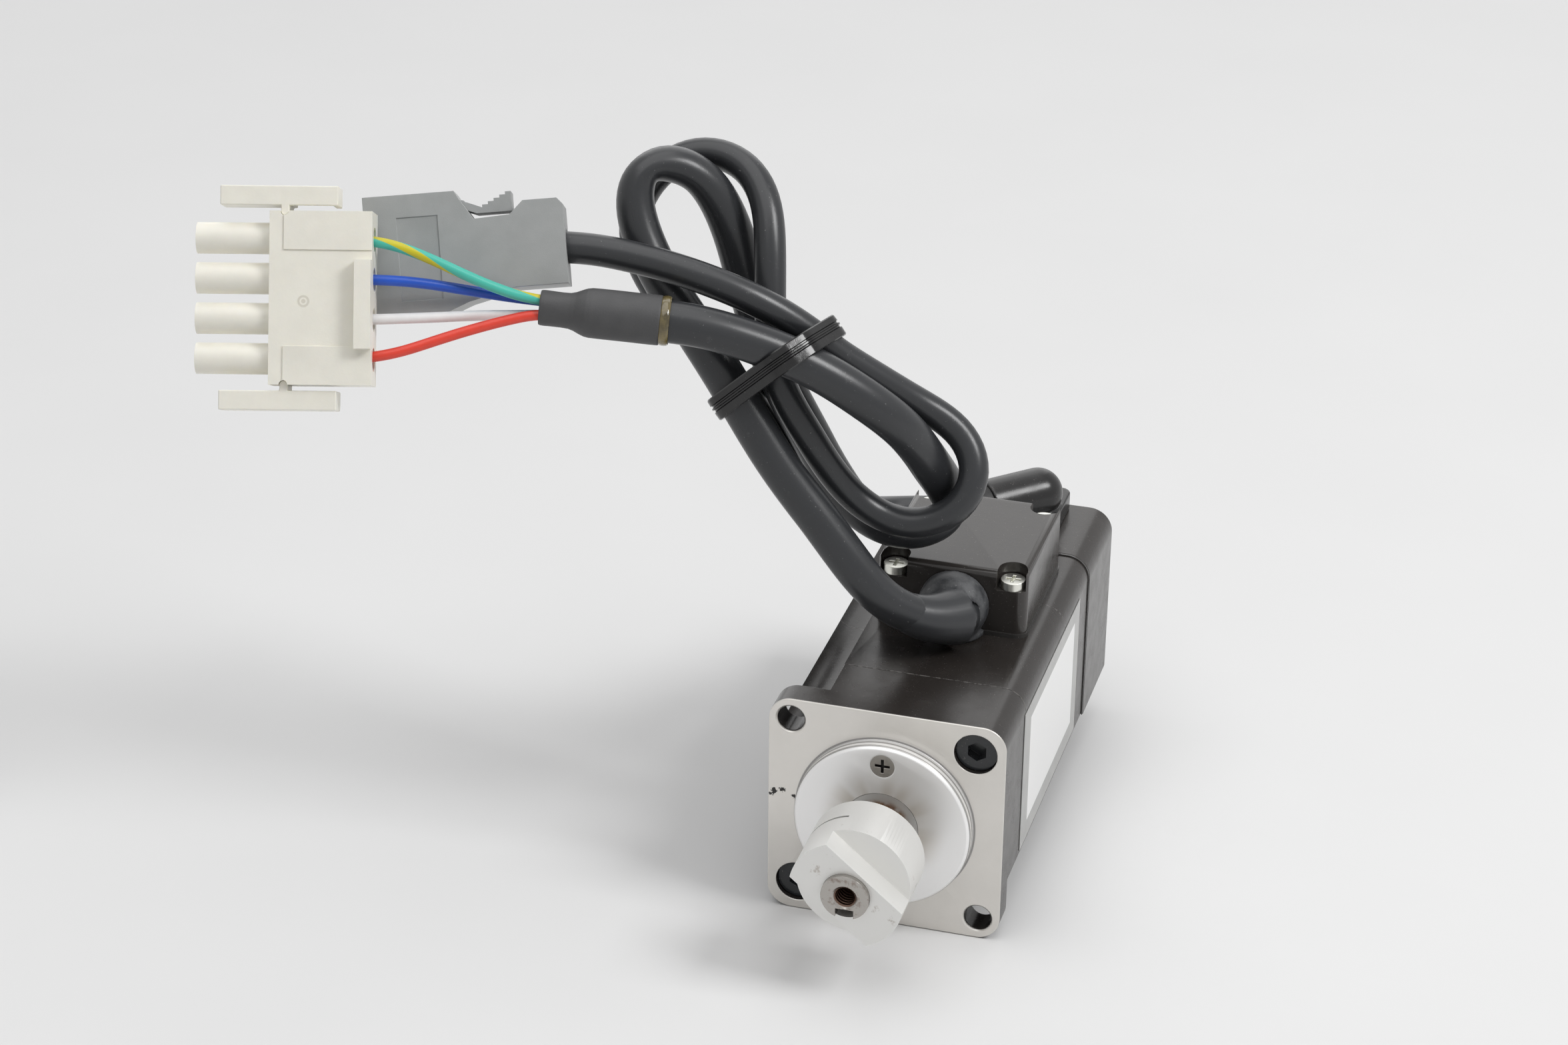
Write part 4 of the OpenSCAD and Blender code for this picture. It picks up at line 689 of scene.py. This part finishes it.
WIRES = {
    "wire_green": (green_wire, 0.037, [
        (4, 0, 9.5), (8, 0, 9.3), (12.5, 0.5, 8.4), (18, 1.2, 6.2),
        (24, 2.2, 3.4), (30, 3.5, 1.2), (34, 4, 0.5), (38, 4, 0)]),
    "wire_blue": (blue_wire, 0.035, [
        (4, 0, 3.2), (8, 0.3, 3.2), (13, 1.5, 3.1), (18, 3, 2.6),
        (24, 4.8, 1.7), (30, 6, 0.9), (34, 6.2, 0.5), (38, 6.2, 0)]),
    "wire_white": (white_wire, 0.035, [
        (4, 0, -3.2), (8, 0.3, -3.1), (13, 1.5, -2.8), (18, 3, -2.5),
        (24, 4.8, -2), (30, 6, -1.9), (34, 6.2, -1.7), (38, 6.2, -2.1)]),
    "wire_red": (red_wire, 0.036, [
        (4, 0, -9.5), (8, 0, -9.1), (12.5, 0.5, -8.2), (18, 1.2, -6.2),
        (24, 2.2, -4.2), (30, 3.5, -2.5), (34, 4, -1.7), (38, 4, -2.1)])}
POWER_D = 6.9
SIGNAL_D = 5.2
WIRE_D = 1.7
plug_frame = hanging((-91.5, -9, 85))
tie_frame = hanging((-26, 21, 68.5), -35)


def lead(node, name, route, diameter, steps, give):
    """A lead's tube on its route, in place of its plain CAD solid, and the line it follows.
    The jacket gives way at the bends as the real one does."""
    line = smooth_line(route, steps)
    made = tube(name, line, diameter / 2, jacket, "housing", columns=32, give=give)
    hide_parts(node)
    return made, line


BOOT_START = (34, 5, -0.6)
BOOT_LEAN = 5.6


def along_boot(far, radius, angle):
    """Rings round the boot's axis, in the power plug's own frame, then placed."""
    axis, side, other = np.array(turned_by(BOOT_LEAN, "Y")).T
    round_it = np.cos(angle)[None, :, None] * side + np.sin(angle)[None, :, None] * other
    rings = np.array(BOOT_START) + far[..., None] * axis + radius[..., None] * round_it
    return placed(rings.reshape(-1, 3), *plug_frame)


# Outline of the boot, each point with its place along the axis, its radius and its share of folds
BOOT_PROFILE = [
    (4.2, 1.0, 0), (4.2, 2.5, 0), (0.3, 2.52, 0), (0.02, 2.62, 0.4), (0.02, 2.74, 0.7),
    (0.3, 2.84, 1), (0.8, 2.87, 1), (2, 2.84, 1), (3.6, 2.82, 1), (4.8, 2.88, 1), (5.6, 3.1, 1),
    (6.6, 3.55, 1), (7.4, 3.86, 0.8), (8.2, 4.0, 0.5), (9.5, 4.03, 0.3), (12, 4.04, 0.3),
    (15, 4.03, 0.3), (18, 4.04, 0.2), (19.2, 4.03, 0.1), (19.36, 3.97, 0), (19.4, 3.88, 0),
    (19.3, 3.81, 0), (13.6, 3.8, 0), (13.5, 1.0, 0)]


def boot_piece():
    """The boot: an outline from the floor of its wires' mouth, over its lip and outside, and into
    the cable's bore, turned about its axis. Waves of three and five to a turn wrinkle it."""
    profile = np.array(BOOT_PROFILE)
    corners = np.arange(len(profile))
    t = np.linspace(0, len(profile) - 1, 5 * len(profile) - 4)
    far, wide, fold = [np.interp(t, corners, column)[:, None] for column in profile.T]
    columns = 40
    angle = 2 * np.pi * np.arange(columns) / columns
    folds = 0.05 * np.sin(3 * angle + 0.7)[None] + 0.03 * np.sin(5 * angle[None] + far * 0.5)
    points = along_boot(np.broadcast_to(far, folds.shape), wide + folds * fold, angle)
    faces = sheet_faces(len(t), columns).tolist() + end_faces(len(t), columns)
    made = piece("boot_sleeve", points, faces, boot_skin, "housing")
    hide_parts("cable_boot")
    return made


def glue_piece():
    """The glue squeezed out at the boot's end: an oval section carried round the cable, its size
    swelling twice and five times to a turn."""
    columns = 48
    rows = 14
    angle = 2 * np.pi * np.arange(columns) / columns
    across = 2 * np.pi * np.arange(rows) / rows
    swell = 1 + 0.16 * np.sin(2 * angle + 1.1) + 0.1 * np.sin(5 * angle)
    far = 20.1 + 0.8 * np.cos(across)[:, None] * (0.9 + 0.1 * swell[None])
    radius = 3.78 + 0.32 * np.sin(across)[:, None] * swell[None]
    faces = closed_faces(rows, columns)[:, ::-1].tolist()
    made = piece("glue_bead", along_boot(far, radius, angle), faces, amber, "housing")
    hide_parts("glue_ring")
    return made


# The tie's head from its foot to its mouth: how far out, and the share of the full width
HEAD_RINGS = [(12.98, 0.94), (13.1, 1.0), (15.3, 1.0), (15.75, 0.95), (15.98, 0.84),
              (15.98, 0.58), (15.1, 0.5)]
HEAD_SIDES = 40
HEAD_MIDDLE = -1.5
HEAD_HALF_WIDTH = 2.5
HEAD_HALF_LENGTH = 2.8
HEAD_ROUND = 0.4


def tie_head_points():
    """The tie's head: rounded rectangles stacked outwards, drawing in to a sunken mouth. Each
    is a circle whose sine and cosine are raised to a power below one."""
    angle = 2 * np.pi * np.arange(HEAD_SIDES) / HEAD_SIDES
    across = np.sign(np.cos(angle)) * np.abs(np.cos(angle)) ** HEAD_ROUND
    up = np.sign(np.sin(angle)) * np.abs(np.sin(angle)) ** HEAD_ROUND
    high, share = np.array(HEAD_RINGS).T
    points = np.zeros((len(high), HEAD_SIDES, 3))
    points[..., 0] = HEAD_MIDDLE + HEAD_HALF_WIDTH * share[:, None] * across
    points[..., 1] = high[:, None]
    points[..., 2] = -HEAD_HALF_LENGTH * share[:, None] * up
    return points.reshape(-1, 3)


# The strands in the tie's own frame: two places across and the radius of each
STRANDS = [(-7.2, -0.4, 3.45), (4.6, -7.8, 3.45), (1.9, -8.9, 3.45), (9.6, -2, 2.6),
           (8.1, -3.9, 2.6), (0.8, 8, 3.45), (-5.8, 10.9, 2.6), (-6.2, 9, 2.6)]
# The band's section: how far across it and how far out from the strands
BAND_SECTION = [(-1.9, 0.02), (-1.95, 0.7), (-1.8, 0.9), (-0.5, 0.95), (-0.3, 0.7), (-0.1, 0.68),
                (0.05, 0.98), (0.3, 0.98), (0.45, 0.68), (0.65, 0.68), (0.8, 0.95), (1.75, 0.88),
                (1.95, 0.7), (1.9, 0.02)]
BAND_SLACK = 0.15
TIE_CREASE = math.radians(28)


def tie_piece():
    """The tie: a band with two ridges along it, carried round the strands that it clasps.
    For each direction the band touches the strand that reaches furthest that way."""
    strands = np.array(STRANDS)
    directions = 2880
    angle = np.linspace(0, 2 * np.pi, directions + 1)[:-1]
    way = np.stack([np.cos(angle), np.sin(angle)], -1)
    reach = way @ strands[:, :2].T + strands[:, 2]
    best = reach.argmax(1)
    outline = strands[best, :2] + (strands[best, 2:] + BAND_SLACK) * way
    step = np.linalg.norm(np.roll(outline, -1, 0) - outline, axis=1)
    far = np.concatenate([[0], np.cumsum(step)])
    closed = np.vstack([outline, outline[:1]])
    ways = np.vstack([way, way[:1]])
    rings = 150
    at = np.linspace(0, far[-1], rings + 1)[:-1]
    path = np.stack([np.interp(at, far, closed[:, k]) for k in (0, 1)], -1)
    out = np.stack([np.interp(at, far, ways[:, k]) for k in (0, 1)], -1)
    out /= np.linalg.norm(out, axis=1)[:, None]
    section = np.array(BAND_SECTION)
    points = np.zeros((rings, len(section), 3))
    points[..., :2] = path[:, None] + section[None, :, 1:] * out[:, None]
    points[..., 2] = section[None, :, 0]
    faces = closed_faces(rings, len(section))[:, ::-1].tolist()
    band = piece("tie_band", placed(points.reshape(-1, 3), *tie_frame), faces, tie_skin, "housing")
    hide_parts("cable_tie")
    size = len(HEAD_RINGS), HEAD_SIDES
    faces = sheet_faces(*size).tolist() + end_faces(*size)
    head = piece("tie_head", placed(tie_head_points(), *tie_frame), faces, tie_skin, "housing")
    for part in (band, head):
        part.data.set_sharp_from_angle(angle=TIE_CREASE)
    return band, head


power_lead, power_line = lead("power_cable", "power_lead", POWER_ROUTE, POWER_D, steps=8, give=0.3)
signal_lead, signal_line = lead("encoder_cable", "signal_lead", SIGNAL_ROUTE, SIGNAL_D, steps=6,
                                give=0.12)
boot = boot_piece()
glue = glue_piece()
tie_band, tie_head = tie_piece()
power_line[0] * MM
power_line * MM
signal_line[0] * MM
signal_line * MM
for node, (finish, length, route) in WIRES.items():
    line = placed(smooth_line(route, steps=8), *plug_frame)[::-1]
    skin = tube(node + "_skin", line, WIRE_D / 2, finish, "housing", columns=20)
    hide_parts(node)
    line[0] * MM
    line * MM


# Rounded copies of the solids
def lump(node, name, finish, voxel, passes, extra=()):
    """A moulding: the CAD solid and any extra shells melted into one skin, then smoothed."""
    shape = bmesh.new()
    shape.from_mesh(nodes[node].data)
    for shell in extra:
        shape.from_mesh(shell.data)
    bmesh.ops.remove_doubles(shape, verts=shape.verts, dist=MERGE)
    mesh = bpy.data.meshes.new(name)
    shape.to_mesh(mesh)
    shape.free()
    mesh.materials.append(finish.material)
    obj = bpy.data.objects.new(name, mesh)
    bpy.context.scene.collection.objects.link(obj)
    melt = obj.modifiers.new("melt", "REMESH")
    melt.mode = "VOXEL"
    melt.voxel_size = voxel * MM
    melt.use_smooth_shade = True
    ease = obj.modifiers.new("ease", "SMOOTH")
    ease.factor = 0.5
    ease.iterations = passes
    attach(obj, "housing")
    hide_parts(node)
    for shell in extra:
        bpy.data.objects.remove(shell)


# The rubber blob goes over into a neck that narrows along the cable's first points
neck_line = power_line[2:13]
neck_radius = np.linspace(5.0, 3.3, len(neck_line))[:, None]
neck = tube("neck", neck_line, neck_radius, rubber, "housing")
lump("power_grommet", "grommet_blob", rubber, voxel=0.28, passes=7, extra=[neck])
lump("encoder_outlet", "outlet_moulding", outlet_skin, voxel=0.25, passes=5)

softened("front_bracket", "bracket_front", 0.18, bracket_skin)
softened("stator_core", "stator_case", 0.12, paint, edge_paint)
softened("rear_bracket", "bracket_rear", 0.12, paint, edge_paint)
softened("rear_cover", "cover_rear", 0.45, paint, edge_paint)
softened("power_cap", "cap_power", 0.5, cap_paint, cap_edge)
softened("coupling_hub", "hub_coupling", 0.22, hub_skin, hub_edge, body="rotor")
softened("shaft", "shaft_ground", 0.15, shaft_skin, body="rotor")
softened("tie_screws", "screws_tie", 0.25, black_screw)
softened("cap_screws", "screws_cap", 0.3, zinc)
softened("cover_screws", "screws_cover", 0.3, zinc)
softened("retainer_screws", "screws_retainer", 0.06, steel_screw)
softened("type_label", "label_type", 0.05, label_skin)
softened("power_plug_housing", "plug_power", 0.22, ivory_body)
softened("latch_upper", "latch_top", 0.2, ivory, body="upper_latch")
softened("latch_lower", "latch_bottom", 0.2, ivory, body="lower_latch")
softened("signal_plug_front", "plug_signal_front", 0.25, grey)
softened("signal_plug_back", "plug_signal_back", 0.25, grey)
softened("signal_plug_nose", "plug_signal_nose", 0.2, nose_dark)
softened("plug_lever", "lever_ribbed", 0.1, grey, body="lever")

plain = {
    "shaft_seal": seal_front, "front_bearing_outer": bearing_steel, "bearing_retainer": rotor_steel,
    "coil_bobbins": nylon, "coils": copper, "winding_board": board, "motor_leads": lead_red,
    "rear_bearing_outer": bearing_steel, "wave_washer": bearing_steel, "encoder_board": board,
    "encoder_sensor": chip, "board_screws": zinc, "cover_gasket": sealant, "cap_gasket": sealant,
    "terminal_block": phenolic, "terminal_studs": gold, "power_cores": lead_red,
    "encoder_grommet": seal_rubber, "rotor_core": rotor_steel, "rotor_magnets": magnet,
    "front_bearing_inner": bearing_steel, "rear_bearing_inner": bearing_steel, "encoder_hub": gold,
    "encoder_disc": disc_skin, "encoder_screw": zinc, "hub_clamp_screw": black_screw,
    "front_bearing_balls": bearing_steel, "rear_bearing_balls": bearing_steel,
    "plug_contacts": gold, "signal_contacts": gold}
for node, finish in plain.items():
    nodes[node].data.materials.append(finish.material)
    nodes[node].data.shade_smooth()
    nodes[node].data.set_sharp_from_angle(angle=SHARP)


# Floor and light: the paleness of the room where it is seen, 1 being white
PALE = 0.70


def lay_floor():
    """A pale floor, slightly uneven in tone. Past the view, where the lamps don't reach, it fades
    into the room's paleness."""
    mesh = bpy.data.meshes.new("floor")
    low, half = -0.0201, 6.0
    corners = [(-half, -half, low), (half, -half, low), (half, half, low), (-half, half, low)]
    mesh.from_pydata(corners, [], [(0, 1, 2, 3)])
    skin = Finish("floor_pale", roughness=0.7, specular_ior_level=0.2)
    skin.set("Base Color", skin.mix(skin.noise(0.02, 3.0), (0.80, 0.80, 0.80), (0.83, 0.83, 0.83)))
    x, y, z = skin.axes()
    far = apart(x, y).between(650, 1500)
    glow = skin.add("ShaderNodeEmission", {}, {"Color": (PALE, PALE, PALE)})
    lit = Value(skin, skin.surface.outputs[0])
    inputs = {0: far * skin.where_seen(), 1: lit, 2: glow}
    skin.feed(skin.end.inputs[0], skin.add("ShaderNodeMixShader", {}, inputs))
    mesh.materials.append(skin.material)
    floor = bpy.data.objects.new("floor", mesh)
    bpy.context.scene.collection.objects.link(floor)


def hang_lamp(name, place, aim, size, power):
    """A square soft lamp that faces the motor."""
    data = bpy.data.lights.new(name, "AREA")
    data.shape = "SQUARE"
    data.size = size
    data.energy = power
    lamp = bpy.data.objects.new(name, data)
    lamp.location = place
    lamp.rotation_mode = "QUATERNION"
    lamp.rotation_quaternion = (Vector(aim) - Vector(place)).to_track_quat("-Z", "Y")
    bpy.context.scene.collection.objects.link(lamp)


def open_studio(dim):
    """The room: a dim even light, which looks pale where it is seen."""
    world = bpy.data.worlds.new("studio")
    bpy.context.scene.world = world
    world.use_nodes = True
    room = Shader(world.node_tree)
    light = room.tree.nodes["Background"].inputs
    room.feed(light["Color"], (1, 1, 1))
    room.feed(light["Strength"], room.where_seen() * (PALE - dim) + dim)


lay_floor()
hang_lamp("lamp_right", (1.0, -0.08, 1.08), aim=(0, 0, 0.02), size=0.5, power=10.2)
hang_lamp("lamp_above", (-0.15, -0.1, 1.5), aim=(0, 0, 0.02), size=1.8, power=13.6)
hang_lamp("lamp_back", (-0.5, 1.75, 0.95), aim=(0, 0, 0.03), size=1.8, power=7.5)
open_studio(dim=0.21)
bpy.context.scene.view_settings.view_transform = "Standard"
